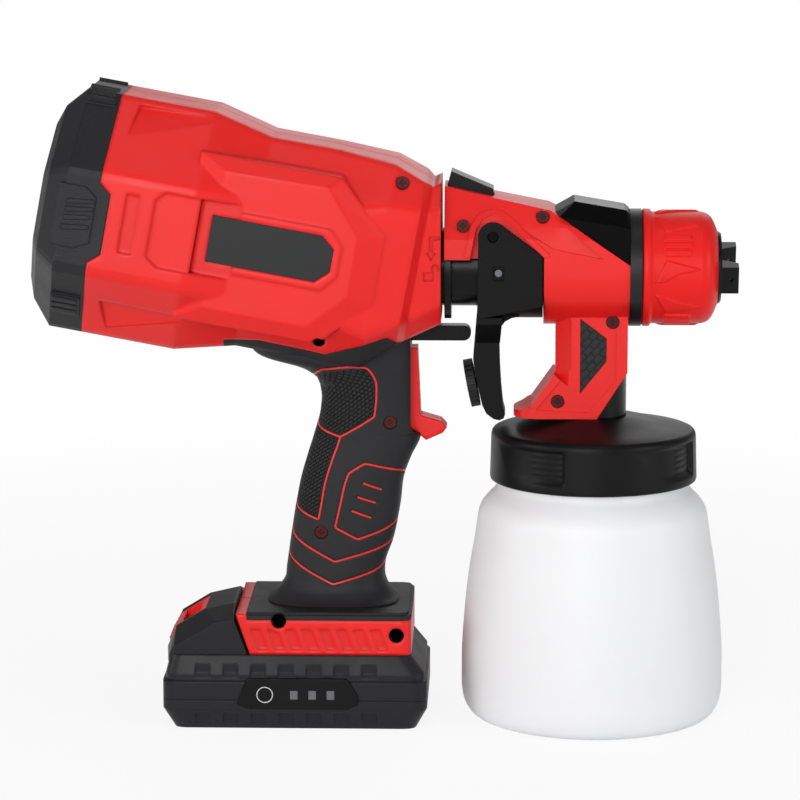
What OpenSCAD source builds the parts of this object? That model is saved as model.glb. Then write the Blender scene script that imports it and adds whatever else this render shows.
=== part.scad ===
// Cordless turbine paint sprayer: tilted fan body, grip with sliding battery, spray head with a hanging cup.
// Millimetres. +Z up, +X towards the nozzle, the mid-plane is Y = 0 and the floor is Z = 0.

/* [Heights] */
// Height of the nozzle axis above the floor
axis_z = 204.6; // [198:0.2:212]
// Drop from the nozzle axis to the top of the cup lid
pillar_drop = 66.4; // [62:0.2:72]
// Height of the cup lid from rim to collar
lid_h = 29.4; // [26:0.2:33]

/* [Turbine body] */
// Tilt of the fan body, rear end high, in degrees
body_tilt = 10.5; // [7:0.5:13]
// Length of the fan body from the cap seam to its front face
body_len = 152.2; // [146:0.2:160]
// Width of the octagonal drum across its flats
drum_w = 108; // [104:0.2:114]
// Straight length of the drum
drum_len = 41.5; // [36:0.5:46]
// Width of the body in front of the drum
waist_w = 93; // [90:0.5:96]
// Height of the body in front of the drum
waist_h = 95; // [92:0.2:98]
// Wall of the body shells with their ribs
shell_t = 4.6; // [4.4:0.1:5]
// Front face of the body
front_x = 26.2; // [25:0.1:26.4]
// Depth of the rear cap behind the seam
cap_len = 27.6; // [25:0.2:32]

/* [Grip] */
// Greatest width of the rubber grip
grip_w = 35; // [31:0.5:40]
// Thickness of the moulded rubber
rubber_t = 2.2; // [1.6:0.1:2.8]
// Thickness of the handle core under the rubber
core_t = 2.6; // [2:0.1:3.2]
// Width of the foot above the battery
foot_w = 66; // [62:0.5:72]
// Height of the foot
foot_h = 19.2; // [18:0.2:22]

/* [Battery] */
// Length of the battery
batt_l = 118.4; // [114:0.2:126]
// Width of the battery
batt_w = 75; // [72:0.5:82]
// Height of the battery deck under the foot
batt_h = 33.8; // [32:0.2:37]
// Height of the rear hump over the deck
hump_h = 20.2; // [17:0.2:22]
// Width of the slide rail
rail_w = 42; // [36:0.5:46]
// Diameter of one cell
cell_d = 18.4; // [17:0.1:19]

/* [Head] */
// Outer radius of the air barrel
barrel_r = 17.4; // [16.6:0.1:18]
// Wall of the air barrel
barrel_t = 2; // [1.4:0.1:2.6]
// Outer radius of the head shell round the nozzle axis
head_r = 25.4; // [25:0.1:26.4]
// Outer radius of the ring and of the nozzle nut
nut_r = 26.2; // [25.6:0.1:28]
// Length of the nozzle nut
nut_l = 33.7; // [32:0.1:36]
// Radius of the air cap dome
cap_r = 16.2; // [15:0.1:17]
// Reach of the two air horns in front of the nut
horn_l = 8.9; // [6:0.1:11]
// Radius of the needle
needle_r = 1.5; // [1:0.1:1.8]

/* [Trigger] */
// Height of the trigger pivot over the nozzle axis
pivot_up = 16; // [15:0.1:17]
// Position of the trigger pivot along the gun
pivot_x = 49.1; // [48.6:0.1:49.6]
// Radius of the pivot pin
pivot_r = 2.4; // [1.8:0.1:2.8]
// Outer width over the two trigger plates
trigger_w = 45.2; // [45:0.1:46]
// Thickness of one trigger plate
plate_t = 2.4; // [1.8:0.1:2.4]
// Width of the finger lever
lever_w = 19; // [15:0.5:23]
// Diameter of the flow knob
knob_d = 21.6; // [18:0.2:24]
// Thickness of the flow knob
knob_t = 4; // [3:0.1:4.6]
// Free gap between the lever and the switch rod
rod_gap = 1.6; // [1.4:0.1:2]

/* [Cup] */
// Position of the cup axis along the gun
cup_x = 94.6; // [94:0.2:95.4]
// Radius of the cup lid
lid_r = 46.5; // [45.5:0.1:50]
// Greatest radius of the cup
cup_r = 59; // [54:0.5:64]
// Wall of the cup
cup_t = 1.8; // [1.2:0.1:2.4]
// Outer radius of the pick-up tube
tube_r = 4; // [3:0.1:5]

/* [Fits] */
// Gap between pieces that slide or turn on each other
slip = 0.3; // [0.3:0.05:0.5]
// Radial running clearance of pins and shafts
run = 0.05; // [0.03:0.01:0.1]

/* [Hidden] */
$fn = 64;
far = 400;
drum_r = drum_w / 2;
oct_side = 0.5858;
axis_drop = 1.9;
seam_x = front_x - body_len * cos(body_tilt);
seam_z = axis_z - axis_drop + body_len * sin(body_tilt);
cone_len = 26.5;
lid_top = axis_z - pillar_drop;
lid_bottom = lid_top - lid_h;
foot_z = batt_h + foot_h;
belly_z = axis_z - 39.6;
head_x = front_x + 1.4;
ring_x = 109.7;
ring_l = 5.6;
nut_x = ring_x + ring_l;
nut_end = nut_x + nut_l;
rod_z = -29.5;
rod_tip = 41 - rod_gap;
foot_x0 = -65.2;
foot_x1 = 13.4;
foot_slant = 6.6;
batt_x1 = 20.6;
batt_x0 = batt_x1 - batt_l;
batt_bevel = 4.8;
bevel_h = 9.5;
lap_t = 2.4;
split_gap = 0.1;

// ---- shared shapes ----

function octagon(hy, hz, c) = [[hy, hz - c], [hy - c, hz], [c - hy, hz], [-hy, hz - c],
    [-hy, c - hz], [c - hy, -hz], [hy - c, -hz], [hy, c - hz]];

// Frame of the tilted fan body: local X runs forward along the fan axis from the cap seam
module body_frame() {
    translate([seam_x, 0, seam_z]) rotate([0, body_tilt, 0]) children();
}

// Frame of the spray head: local origin on the nozzle axis
module at_axis() {
    translate([0, 0, axis_z]) children();
}

// A flat outline in Y and Z, extruded along X
module yz_slab(x, t) {
    translate([x, 0, 0]) rotate([90, 0, 90]) linear_extrude(t) children();
}

// A flat outline in X and Z, extruded from y0 to y1
module xz_plate(y0, y1) {
    translate([0, y1, 0]) rotate([90, 0, 0]) linear_extrude(y1 - y0) children();
}

// A round bar or tube along X
module x_bar(x0, x1, r) {
    translate([x0, 0, 0]) rotate([0, 90, 0]) cylinder(h = x1 - x0, r = r);
}

module x_cone(x0, x1, r0, r1) {
    translate([x0, 0, 0]) rotate([0, 90, 0]) cylinder(h = x1 - x0, r1 = r0, r2 = r1);
}

module x_tube(x0, x1, r, bore) {
    difference() {
        x_bar(x0, x1, r);
        x_bar(x0 - 1, x1 + 1, bore);
    }
}

// A round bar along Y
module y_bar(x, z, y0, y1, r) {
    translate([x, y1, z]) rotate([90, 0, 0]) cylinder(h = y1 - y0, r = r);
}

function unit(v) = v / norm(v);

// Corners cut back and rounded with one point between, for a corner radius of about r
function soften(pts, r) = [for (i = [0:len(pts) - 1])
    let (p = pts[i], a = pts[(i + len(pts) - 1) % len(pts)], b = pts[(i + 1) % len(pts)],
        q = p + 0.414 * r * unit(a - p), t = p + 0.414 * r * unit(b - p))
    each [q, 0.48 * p + 0.26 * (q + t), t]];

// Octagon of half sizes hy and hz and corner cut c, drawn in by g and rounded by r
function soft_octagon(hy, hz, c, r, g = 0) = soften(octagon(hy - g, hz - g, c - 0.586 * g), r);

module keep_side(s) {
    translate([-far, s > 0 ? split_gap / 2 : -far - split_gap / 2, -far]) cube([2 * far, far, 2 * far]);
}

// Faces that join a stack of rings into one closed skin, each quad as two triangles
function skin_faces(rows, n) = concat([[for (k = [0:n - 1]) k]],
    [for (i = [0:rows - 2], k = [0:n - 1]) let (a = i * n + k,
        b = i * n + (k + 1) % n) each [[a, b + n, b], [a, a + n, b + n]]],
    [[for (k = [n - 1:-1:0]) (rows - 1) * n + k]]);

// Solid through rings that run counter-clockwise about the way the stack grows
module skin(rings) {
    polyhedron(points = [for (ring = rings) each ring], faces = skin_faces(len(rings), len(rings[0])),
        convexity = 6);
}

// One ring of a coil spring's wire, a turns round the axis
function coil_ring(a, h, turns, r, w, sides) = [for (k = [0:sides - 1])
    let (q = -360 * k / sides, d = r + w * cos(q))
    [d * cos(a), d * sin(a), w + (h - 2 * w) * a / (360 * turns) + w * sin(q)]];

// A coil spring of wire radius w standing on z = 0
module coil(h, turns, r, w) {
    steps = 8 * turns;
    skin([for (i = [0:steps]) coil_ring(360 * turns * i / steps, h, turns, r, w, 6)]);
}

// ---- fan body ----

// A flat ring in Y and Z set across the tilted fan axis at u
function tilted_ring(u, pts) = [for (p = pts) [seam_x + u * cos(body_tilt) + p[1] * sin(body_tilt), p[0],
    seam_z - u * sin(body_tilt) + p[1] * cos(body_tilt)]];

// Outer form of the fan body, drawn in by g for the cavity
module body_form(g = 0) {
    c = drum_r * oct_side;
    cone_end = drum_len + cone_len;
    skin([tilted_ring(g > rubber_t ? -g / 2 : g / 10, soft_octagon(drum_r, drum_r, c, 7, g)),
        tilted_ring(drum_len - g, soft_octagon(drum_r, drum_r, c, 7, g)),
        tilted_ring(cone_end, soft_octagon(waist_w / 2, waist_h / 2, 25, 7, g)),
        tilted_ring(body_len - 54.2, soft_octagon(waist_w / 2, waist_h / 2, 25, 7, g)),
        tilted_ring(body_len - 28.2, soft_octagon(waist_w / 2 - 3, waist_h / 2 - 1.5, 17, 6, g)),
        tilted_ring(body_len - 14.2 - g / 2,
            [for (q = soft_octagon(waist_w / 2 - 5, 37, 12, 5, g)) q + [0, 4]]),
        tilted_ring(body_len - 10.7 - g / 2, [for (q = soft_octagon(33.5, 35, 11, 5, g)) q + [0, 4]]),
        [for (q = soft_octagon(31.5, 31.5, 10, 5, g)) [front_x - g, q[0], axis_z + 8.5 + q[1]]]]);
}

// Raised six-sided panel on both flanks, w apart
module flank_panel(w) {
    u = body_len;
    base = [[40, -36], [u - 48.2, -36], [u - 27.2, -14], [u - 27.2, 16], [u - 50.2, 38], [40, 38]];
    flat = [[52, -29], [u - 54.2, -29], [u - 38.6, -13], [u - 38.6, 13.5], [u - 55.2, 33], [52, 32]];
    body_frame() skin([[for (q = flat) [q[0], w / 2, q[1]]], [for (q = base) [q[0], w / 2 - 4.6, q[1]]],
        [for (q = base) [q[0], 4.6 - w / 2, q[1]]], [for (q = flat) [q[0], -w / 2, q[1]]]]);
}

// Side outline of the fan body, which trims its nose over the switch rod
module body_side_trim() {
    xz_plate(-far / 4, far / 4) translate([0, axis_z])
        polygon([[-far / 2, -far], [-far / 2, far], [front_x, far], [front_x, -22.9], [15.1, -35.6],
            [15.1, -far]]);
}

module body_shape(g = 0) {
    intersection() {
        union() {
            body_form(g);
            if (g == 0) flank_panel(2 * label_y);
        }
        body_side_trim();
    }
}

// Wedge cut in one oblique facet of the drum, deepest along its rear edge
module facet_pocket(turn, corners, depths) {
    body_frame() rotate([turn, 0, 0]) translate([0, 0, drum_r])
        skin([[for (i = [0:2]) [corners[i][0], corners[i][1], -depths[i]]],
            [for (q = corners) [q[0], q[1], 4]]]);
}

// Everything cut into the flank on one side: s is -1 or 1
module flank_cuts(s) {
    y = s * drum_r;
    panel_y = s * (drum_r - 5.5);
    body_frame() {
        // shallow channel behind the label
        xz_plate(min(y, y - s * 1.2), max(y + s * 2, y - s * 1.2))
            polygon([[24.5, 14.5], [28.5, 18.6], [56, 18.6], [56, -14.6], [30, -14.6], [24.5, -10.6]]);
        // step down to the label panel
        xz_plate(min(panel_y - s * 0.4, panel_y + s * 9), max(panel_y - s * 0.4, panel_y + s * 9))
            polygon([[44, 18.6], [62, 18.6], [62, -14.6], [44, -14.6]]);
        // narrow slot near the seam
        xz_plate(min(y - s * 1.2, y + s), max(y - s * 1.2, y + s))
            polygon([[12, 15], [18, 15], [18, -11], [12, -11]]);
    }
}

// Label frame raised on one flank, and the seat of the plate in it
function label_outline(e) = [[50 - e, 12 + e], [98 + e, 12 + e], [104 + e, 7 + e / 2],
    [104 + e, -3 - e / 2],
    [98 + e, -8.4 - e], [50 - e, -8.4 - e]];
label_y = drum_r - 5.5;
label_seat = 0.8;

module label_frame(s) {
    body_frame() xz_plate(min(s * (label_y - 2), s * (label_y + 0.8)),
        max(s * (label_y - 2), s * (label_y + 0.8)))
        polygon(label_outline(3.4));
}

module label_plate() {
    color("#1c1c1e") body_frame() xz_plate(-label_y - 0.4, -label_y + label_seat) polygon(label_outline(0));
}

// Recesses for the screws that close the body: [x, height over the axis, outer face, radius]
body_screws = [[9.6, 41.2, 33, 3], [3.6, -68, 17.2, 3], [-27.3, -118.2, 16.9, 3]];
blind_holes = [[-27.3, -28.8, 36, 2.9]];
foot_holes = [[-45.7, 49.2], [6.8, 42.9]];
screw_sink = 2.4;

module housing_bores(s) {
    at_axis() for (b = body_screws)
        y_bar(b[0], b[1], s > 0 ? b[2] - screw_sink : -far, s > 0 ? far : screw_sink - b[2], b[3]);
    at_axis() for (b = blind_holes)
        y_bar(b[0], b[1], s > 0 ? b[2] - 9 : -far, s > 0 ? far : 9 - b[2], b[3]);
    for (b = foot_holes)
        y_bar(b[0], b[1], s > 0 ? foot_w / 2 - 9 : -far, s > 0 ? far : 9 - foot_w / 2, 3.4);
}

module screw_at(x, z, y, s, r) {
    difference() {
        y_bar(x, z, min(s * y, s * (y - 1.9)), max(s * y, s * (y - 1.9)), r);
        for (t = [0, 90])
            translate([x, s * y, z]) rotate([0, t, 0]) cube([2.6, 1.4, 0.7], center = true);
    }
}

module housing_screws() {
    color("#7a1512") at_axis() for (b = body_screws)
        screw_at(b[0], b[1], b[2] - screw_sink + 1.9, -1, b[3] - 0.2);
}

// ---- grip ----

// Stations up the grip: [height share, rear edge, front edge, half width over the mean]
grip_stations = [[-0.04, -52, 7.4, 8], [0, -52, 7.4, 8], [0.018, -49.6, 4.8, 4.6], [0.043, -46.9, 2.6, 1.8],
    [0.08, -44.2, 0.7, 0.2], [0.14, -43.1, 0.3, -0.4], [0.26, -41.2, 4.4, -0.3], [0.4, -38.7, 7.4, 0],
    [0.51, -36.2, 9.0, 0.2], [0.59, -33.6, 12.2, 0.1], [0.67, -30.8, 16.4, 0], [0.78, -27.6, 15.6, 0.6],
    [0.86, -27.4, 15.4, 1.2], [0.925, -30.6, 15.3, 2.2], [0.965, -38.6, 15.2, 3.6], [1, -53, 15.2, 5],
    [1.1, -56.5, 15.2, 6.4]];

function grip_z(t) = foot_z + t * (belly_z - foot_z);

function round_power(c) = sign(c) * pow(abs(c), 0.72);

function grip_ring(s, g, n) = let (cx = (s[1] + s[2]) / 2, a = (s[2] - s[1]) / 2 - g,
    b = grip_w / 2 + s[3] - g)
    [for (k = [0:n - 1]) [cx + a * round_power(cos(360 * k / n)), b * round_power(sin(360 * k / n)),
        grip_z(s[0])]];

grip_sides = 20;

module grip_loft(g) {
    skin([for (s = grip_stations) grip_ring(s, g, grip_sides)]);
}

// Hooked front spine that guards the fingers
module finger_hook(g = 0) {
    xz_plate(-6.2 + g, 6.2 - g) translate([0, axis_z])
        polygon([[2, -36], [15.6, -36], [17, -66.5], [26.2, -69.2], [28.7, -72], [27, -74.4], [19.4, -77.8],
            [13.6, -73], [2, -66]]);
}

module foot_rect(inset) {
    x0 = foot_x0 + inset;
    x1 = foot_x1 - inset;
    w = foot_w / 2 - inset;
    intersection() {
        polygon(soften([[x1, w], [x0 - 30, w], [x0 - 30, -w], [x1, -w]], 10));
        polygon(soften([[x1 + 30, w], [x0, w], [x0, -w], [x1 + 30, -w]], 3));
    }
}

// The foot that holds the battery rail, with its slanted rear face
module foot_block(z0, z1, g = 0) {
    intersection() {
        translate([0, 0, z0]) linear_extrude(z1 - z0) foot_rect(g);
        xz_plate(-far / 4, far / 4) polygon([[foot_x0 + g, foot_z], [foot_x0 + foot_slant + g, batt_h],
            [foot_x0 + foot_slant + g, batt_h - 5], [far, batt_h - 5], [far, foot_z + 30],
                [foot_x0 + g, foot_z + 30]]);
    }
}

// Cavity for the battery rail, open to the rear and below
module rail_channel(c) {
    translate([-far / 2, -rail_w / 2 - c, batt_h - 10])
        cube([far / 2 + foot_x1 - 12 + c, rail_w + 2 * c, 10 + 11 + c]);
}

// Line between the shell and the rubber, seen from the side
module rubber_region(c) {
    xz_plate(-far / 4, far / 4) translate([0, axis_z])
        polygon([[-70, -far], [-70, -29.5 - c], [-54, -29.5 - c], [-25, -35.6 - c], [2.6, -26.6 - c],
            [12.2 - c, -33.4 - c], [12.2 - c, -70], [13.8 - c, -73.6 - c], [19.6 - c, -77.8 - c],
                [60, -83 - c],
            [60, -far]]);
}

foot_split = 3.4;

// Slanted pockets along both flanks of the red foot band, clear of the screw bosses
module band_pockets() {
    for (s = [-1, 1])
        xz_plate(min(s * foot_w, s * (foot_w / 2 - 1)), max(s * foot_w, s * (foot_w / 2 - 1)))
            difference() {
                for (i = [0:7])
                    translate([foot_x0 + 6.7 + 7.65 * i, batt_h])
                        polygon([[0, 11.6], [4.6, 11.6], [8, 2.1], [3.4, 2.1]]);
                for (q = foot_holes) translate(q) circle(5.2);
            }
}

module handle_core() {
    grip_loft(rubber_t);
    finger_hook();
    foot_block(batt_h, foot_z - foot_split);
    // red strip up the rear edge of the foot
    intersection() {
        foot_block(batt_h, foot_z - 0.8);
        translate([foot_x0 - 1, -far / 2, 0]) cube([6.2, far, far]);
    }
}

// Hollow of the handle, seen from the side inside the core
module handle_hollow() {
    g = rubber_t + core_t;
    low = grip_z(0.02);
    xz_plate(g + 1 - grip_w / 2, grip_w / 2 - g - 1)
        polygon(concat([[grip_stations[2][1] + 6, low], [grip_stations[2][2] - 6, low]],
            [for (i = [4:14]) [grip_stations[i][2] - g - 1, grip_z(grip_stations[i][0])]],
            [[8, belly_z + 12], [-36, belly_z + 12], [-36, belly_z - 1.6]],
            [for (i = [13:-1:4]) [grip_stations[i][1] + g + 1, grip_z(grip_stations[i][0])]]));
    rail_channel(slip);
    translate([-44, -12, batt_h]) cube([40, 24, foot_z - batt_h + 4]);
}

// Both halves before the split: fan body, handle core and foot, all still filled
module housing_solid() {
    difference() {
        body_shape();
        rubber_region(0);
    }
    body_shape(rubber_t);
    handle_core();
    for (s = [-1, 1]) label_frame(s);
}

module housing_cuts(s) {
    mirror([0, s < 0 ? 0 : 1, 0]) {
        facet_pocket(45, [[6.6, 0], [50, 19.5], [9, 18.5]], [0.1, 0.3, 2.4]);
        facet_pocket(135, [[10.7, -15], [52, 3], [7, 4]], [0.3, 0.4, 2.4]);
    }
    flank_cuts(s);
    housing_bores(s);
    band_pockets();
    // seat of the label plate
    if (s < 0) body_frame() xz_plate(-label_y - 5, -label_y + label_seat) polygon(label_outline(0.15));
}

module housing_half(s) {
    color("#e2261f") intersection() {
        difference() {
            housing_solid();
            body_shape(shell_t);
            housing_cuts(s);
            handle_hollow();
            cap_tongue(slip / 2);
            at_axis() x_bar(-2, far, 21.2);
            rod_slot(slip);
        }
        keep_side(s);
    }
}

module right_housing() {
    housing_half(-1);
}

module left_housing() {
    housing_half(1);
}

module grip_rubber(s) {
    color("#323234") intersection() {
        difference() {
            union() {
                intersection() {
                    union() {
                        grip_loft(0);
                        difference() {
                            body_shape();
                            grip_loft(1);
                        }
                    }
                    rubber_region(split_gap);
                }
                foot_block(foot_z - foot_split, foot_z - 1.2);
                foot_block(foot_z - foot_split, foot_z, 1.2);
            }
            grip_loft(rubber_t);
            finger_hook();
            body_shape(rubber_t);
            foot_block(batt_h, foot_z - foot_split);
            rod_slot(slip);
            translate([foot_x0 - 1, -far / 2, 0]) cube([6.2 + split_gap, far, foot_z + 1]);
            housing_bores(s);
        }
        keep_side(s);
    }
}

module grip_rubber_right() {
    grip_rubber(-1);
}

module grip_rubber_left() {
    grip_rubber(1);
}

// ---- rear cap ----

// Tongue of the cap that laps over each flank of the drum
module cap_tongue(c) {
    w = drum_r + 1;
    body_frame() for (s = [-1, 1])
        xz_plate(min(s * (drum_r - lap_t), s * w), max(s * (drum_r - lap_t), s * w))
            polygon([[-12, 17.5 + c], [0, 17.5 + c], [5 + c, 13.3], [5 + c, -13.3], [0, -17.5 - c],
                [-12, -17.5 - c]]);
}

// Rings of the cap: [distance behind the seam, share of the drum radius, corner radius]
cap_rings = [[-1, 0.3, 3], [-0.975, 0.65, 5], [-0.86, 0.81, 6], [-0.53, 1, 7], [0, 1, 7]];

module cap_form(g) {
    skin([for (q = cap_rings) let (r = q[1] * drum_r)
        [for (p = soft_octagon(r, r, r * oct_side, q[2], g)) [q[0] * cap_len + (q[0] < -0.6 ? g : 0),
            p[0], p[1]]]]);
}

grille_r = 33;
slot_pitch = 6.4;

module rear_cap() {
    color("#28282a") body_frame() {
        difference() {
            union() {
                cap_form(0);
                // side tabs
                for (s = [-1, 1]) xz_plate(min(s * (drum_r - 2), s * (drum_r + 1)),
                    max(s * (drum_r - 2), s * (drum_r + 1)))
                    polygon([[-17.3, 14.8], [-6, 14.8], [-0.6, 10.9], [-0.6, -9], [-6.9, -12.4],
                        [-17.3, -12.4]]);
                // grip blocks over the upper corners and on the lower facets
                for (s = [-1, 1], t = [23, 138]) rotate([s * t, 0, 0])
                    translate([-14.6, -7, drum_r * (t < 90 ? 1.04 : 1) - 2]) cube([13, 14, 3]);
            }
            difference() {
                cap_form(3);
                translate([-cap_len - 1, -far / 2, -far / 2]) cube([5, far, far]);
            }
            yz_slab(-3, 5) polygon(soft_octagon(drum_r, drum_r, drum_r * oct_side, 7, 3));
            // intake louvres
            for (i = [-4:4]) let (w = sqrt(pow(grille_r, 2) - pow(i * slot_pitch, 2)))
                translate([-cap_len - 2, -w, i * slot_pitch - 1.3]) cube([8, 2 * w, 2.6]);
        }
        // ribs that tie the louvres together
        for (y = [-15, 15]) translate([-cap_len + 2.4, y - 1, -grille_r]) cube([2.6, 2, 2 * grille_r]);
        for (s = [-1, 1]) intersection() {
            xz_plate(min(s * (drum_r - lap_t), s * drum_r), max(s * (drum_r - lap_t), s * drum_r))
                polygon([[-8, 17.5], [0, 17.5], [5, 13.3], [5, -13.3], [0, -17.5], [-8, -17.5]]);
        }
    }
}

module intake_filter() {
    color("#4a4a4c") body_frame() x_bar(-cap_len + 5.3, -cap_len + 11, grille_r + 3);
}

// ---- fan, motor and ducts ----

fan_u0 = 8;
fan_u1 = 26;
fan_r = 40;
case_u1 = 33;
motor_u0 = 39;
motor_u1 = 94;
motor_r = 21;
shaft_r = 2.5;

module turbine_case() {
    color("#3a3a3c") body_frame() difference() {
        x_bar(-cap_len + 11.4, case_u1, drum_r - 9);
        x_bar(-cap_len + 13.4, case_u1 - 2, drum_r - 11);
        x_bar(-cap_len, case_u1 - 4, 24);
        x_bar(0, far, motor_r - 6);
        for (a = [0:45:315]) rotate([a, 0, 0]) translate([case_u1 - 4, 0, 30]) rotate([0, 90,
            0]) cylinder(h = 8, r = 5);
    }
}

module impeller() {
    color("#d8d8da") body_frame() {
        difference() {
            union() {
                x_bar(fan_u1 - 1.6, fan_u1, fan_r);
                x_bar(fan_u0, fan_u1, 7);
                for (a = [0:40:320]) rotate([a, 0, 0]) yz_slab(fan_u0 + 3, fan_u1 - fan_u0 - 4)
                    difference() {
                        intersection() {
                            translate([0, 22]) circle(r = 18);
                            translate([-far / 4, 0]) square([far / 4 + 2, far]);
                            circle(r = fan_r - 0.5);
                        }
                        translate([0, 22]) circle(r = 16.6);
                    }
            }
            x_bar(0, far, shaft_r);
        }
    }
}

module motor_shaft() {
    color("#b8b8bc") body_frame() x_bar(fan_u0 - 2, motor_u0 + 12, shaft_r);
}

module motor_can() {
    color("#8e9094") body_frame() difference() {
        union() {
            x_bar(motor_u0, motor_u1, motor_r);
            x_bar(motor_u0 - 3, motor_u0, 8);
        }
        x_bar(0, motor_u0 + 16, shaft_r + run);
    }
}

module motor_mount() {
    color("#3a3a3c") body_frame() difference() {
        union() {
            yz_slab(case_u1 + 0.2, 3) polygon(soft_octagon(drum_r, drum_r, drum_r * oct_side, 7,
                shell_t + 0.3));
            x_bar(case_u1 + 0.2, motor_u0 + 14, motor_r + 3);
        }
        x_bar(motor_u0 - 0.2, far, motor_r + 0.1);
        x_bar(0, far, 12);
        for (a = [0:45:315]) rotate([a, 0, 0]) translate([case_u1 - 1, 0, 34]) rotate([0, 90,
            0]) cylinder(h = 8, r = 7);
    }
}

plug_x0 = 4;

module outlet_duct() {
    color("#3a3a3c") at_axis() difference() {
        union() {
            x_bar(0, front_x - 0.4, 21);
            x_bar(-2, 2, 24.6);
        }
        x_bar(10, far, 19.9 + slip);
        x_bar(-5, far, barrel_r + slip);
    }
}

module socket_seal() {
    color("#1a1a1a") at_axis() x_tube(-1.8, 3.2, barrel_r + slip - 0.05, barrel_r - 3);
}

module lock_collar() {
    color("#5a5a5e") at_axis() difference() {
        x_bar(12, front_x - 0.8, 19.9);
        x_bar(0, far, barrel_r + slip);
        for (t = [0, 180]) rotate([t, 0, 0]) translate([0, -3.4, 0]) cube([far, 6.8, 19.3 + slip]);
    }
}

// ---- switch ----

rod_h = 6.8;
rod_w = 8;
switch_x1 = -14;

module rod_slot(c) {
    at_axis() translate([-10, -rod_w / 2 - c, rod_z - rod_h / 2 - c]) cube([far, rod_w + 2 * c,
        rod_h + 2 * c]);
}

module switch_rod() {
    color("#222224") at_axis() {
        xz_plate(-rod_w / 2, rod_w / 2) union() {
            translate([rod_tip - rod_h / 2, rod_z]) circle(r = rod_h / 2);
            translate([1, rod_z - rod_h / 2]) square([rod_tip - rod_h / 2 - 1, rod_h]);
        }
        translate([0, 0, rod_z]) x_bar(-12, 1.5, 1.6);
    }
}

module rod_spring() {
    color("#b8b8bc") at_axis() translate([switch_x1 + 0.1, 0, rod_z]) rotate([0, 90, 0]) coil(14.8, 6,
        2.5, 0.35);
}

module switch_body() {
    color("#2a2a2c") at_axis() difference() {
        translate([switch_x1 - 20, -7, rod_z - 8]) cube([20, 14, 16]);
        translate([0, 0, rod_z]) x_bar(switch_x1 - 9, far, 1.6 + slip);
    }
}

module terminal_block() {
    color("#c9a227") translate([-38, -9, batt_h + 11.6]) cube([28, 18, foot_z - batt_h - 12]);
}

module wire_loom() {
    color("#202022") for (s = [-1, 1])
        hull() {
            translate([-16, s * 4, axis_z + rod_z - 9.3]) sphere(r = 1.2, $fn = 12);
            translate([-20, s * 4, foot_z + 0.9]) sphere(r = 1.2, $fn = 12);
        }
}

// ---- spray head ----

// Side outline of the red head shells over the trigger and barrel
function head_outline() = [[head_x, 6.2], [head_x, 37.5], [49.4, 32.7], [74.3, 27.5], [78.2, 25.2],
    [ring_x, 3.9],
    [ring_x, -20], [head_x + 44.1, -20], [head_x + 44.1, 6.2]];

// Arch in both flanks that the trigger lobe turns in
module trigger_arch() {
    polygon([[38.2, 0], [39.2, 7.7], [41.6, 19.8], [44.6, 23.9], [48.5, 25.4], [52.2, 24.9], [58, 20.6],
        [71.7, 7.4],
        [71.7, -30], [38.2, -30]]);
}

module head_width_form(g) {
    yz_slab(head_x + g, ring_x - head_x - 2 * g)
        polygon([[head_r - g, -30], [head_r - g, 15 - g], [17 - g, 29 - g], [11 - g, 40 - g],
            [g - 11, 40 - g],
            [g - 17, 29 - g], [g - head_r, 15 - g], [g - head_r, -30]]);
}

pillar_w = 31;
rim_h = 0.6;

// The pillar down to the cup, seen from the side
module pillar_outline(c) {
    polygon([[77.2 + c, -10], [77.2 + c, -45.4 + c / 2], [66.6 + c * 1.5, -60.4 + c], [62, -62.6],
        [58.6, -63.4 + c],
        [58.6, -pillar_drop + c], [95.6 - c * 1.5, -pillar_drop + c], [cup_x + 14.5 - c, -45.3 + c / 2],
        [cup_x + 14.5 - c, -10]]);
}

// Recessed field, slanted rear edge and rounded flange corner on the right of the pillar
module pillar_relief() {
    side = pillar_w / 2;
    xz_plate(-far / 4, pillar_sink - side) polygon([[83.8, -5], [104.2, -5], [104.2, -49.4], [91.4, -63.4],
        [68.6, -62.3], [83.8, -43.4]]);
    hull() {
        translate([0, 0, -46]) linear_extrude(36)
            polygon([[76, -8], [83.8, 0.02 - side], [83.8, -20], [76, -20]]);
        translate([83, -side - 2, -52]) cube([0.8, 2.02, 1]);
    }
    translate([0, 0, -pillar_drop - 1]) linear_extrude(6)
        polygon([[57, -5], [58.6, -5], [59.3, -8.6], [61.4, -12], [64.4, -14.4], [68, 0.01 - side], [68, -20],
            [57, -20]]);
}

// Depth of the field inside the pillar's raised rim
pillar_sink = 0.7;

// Wedge cut in the right flank of the cover, in front of the arch; its floor is one flat plane
pocket_edge = [[61, 20.4], [75.7, 11.1], [97.8, 6.7], [81.5, 20.3]];
function pocket_floor(q) = -22.7 + 0.033 * (q[0] - 68.3) + 0.24 * (q[1] - 19.2);
module cover_pocket() {
    skin([[for (q = pocket_edge) [q[0], pocket_floor(q), q[1]]], [for (q = pocket_edge) [q[0], -30, q[1]]]]);
}

module head_solid(g) {
    at_axis() {
        intersection() {
            head_width_form(g);
            xz_plate(-far / 4, far / 4) offset(delta = -g) polygon(head_outline());
        }
        x_bar(head_x + 44.1 + g, ring_x - g, head_r - g);
        // raised rim over the arch
        intersection() {
            head_width_form(-rim_h);
            xz_plate(-far / 4, far / 4) intersection() {
                offset(delta = 2.6) trigger_arch();
                polygon(head_outline());
                translate([0, 7.4]) square([far, far]);
            }
        }
        difference() {
            xz_plate(-pillar_w / 2 + g, pillar_w / 2 - g) pillar_outline(g);
            pillar_relief();
            mirror([0, 1, 0]) pillar_relief();
        }
    }
}

head_screw_spots = [[35.9, 21.2, 24.6], [71, 24.9, 20.6], [102.4, -22.7, pillar_w / 2],
    [78.2, -58.5, pillar_w / 2]];

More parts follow.
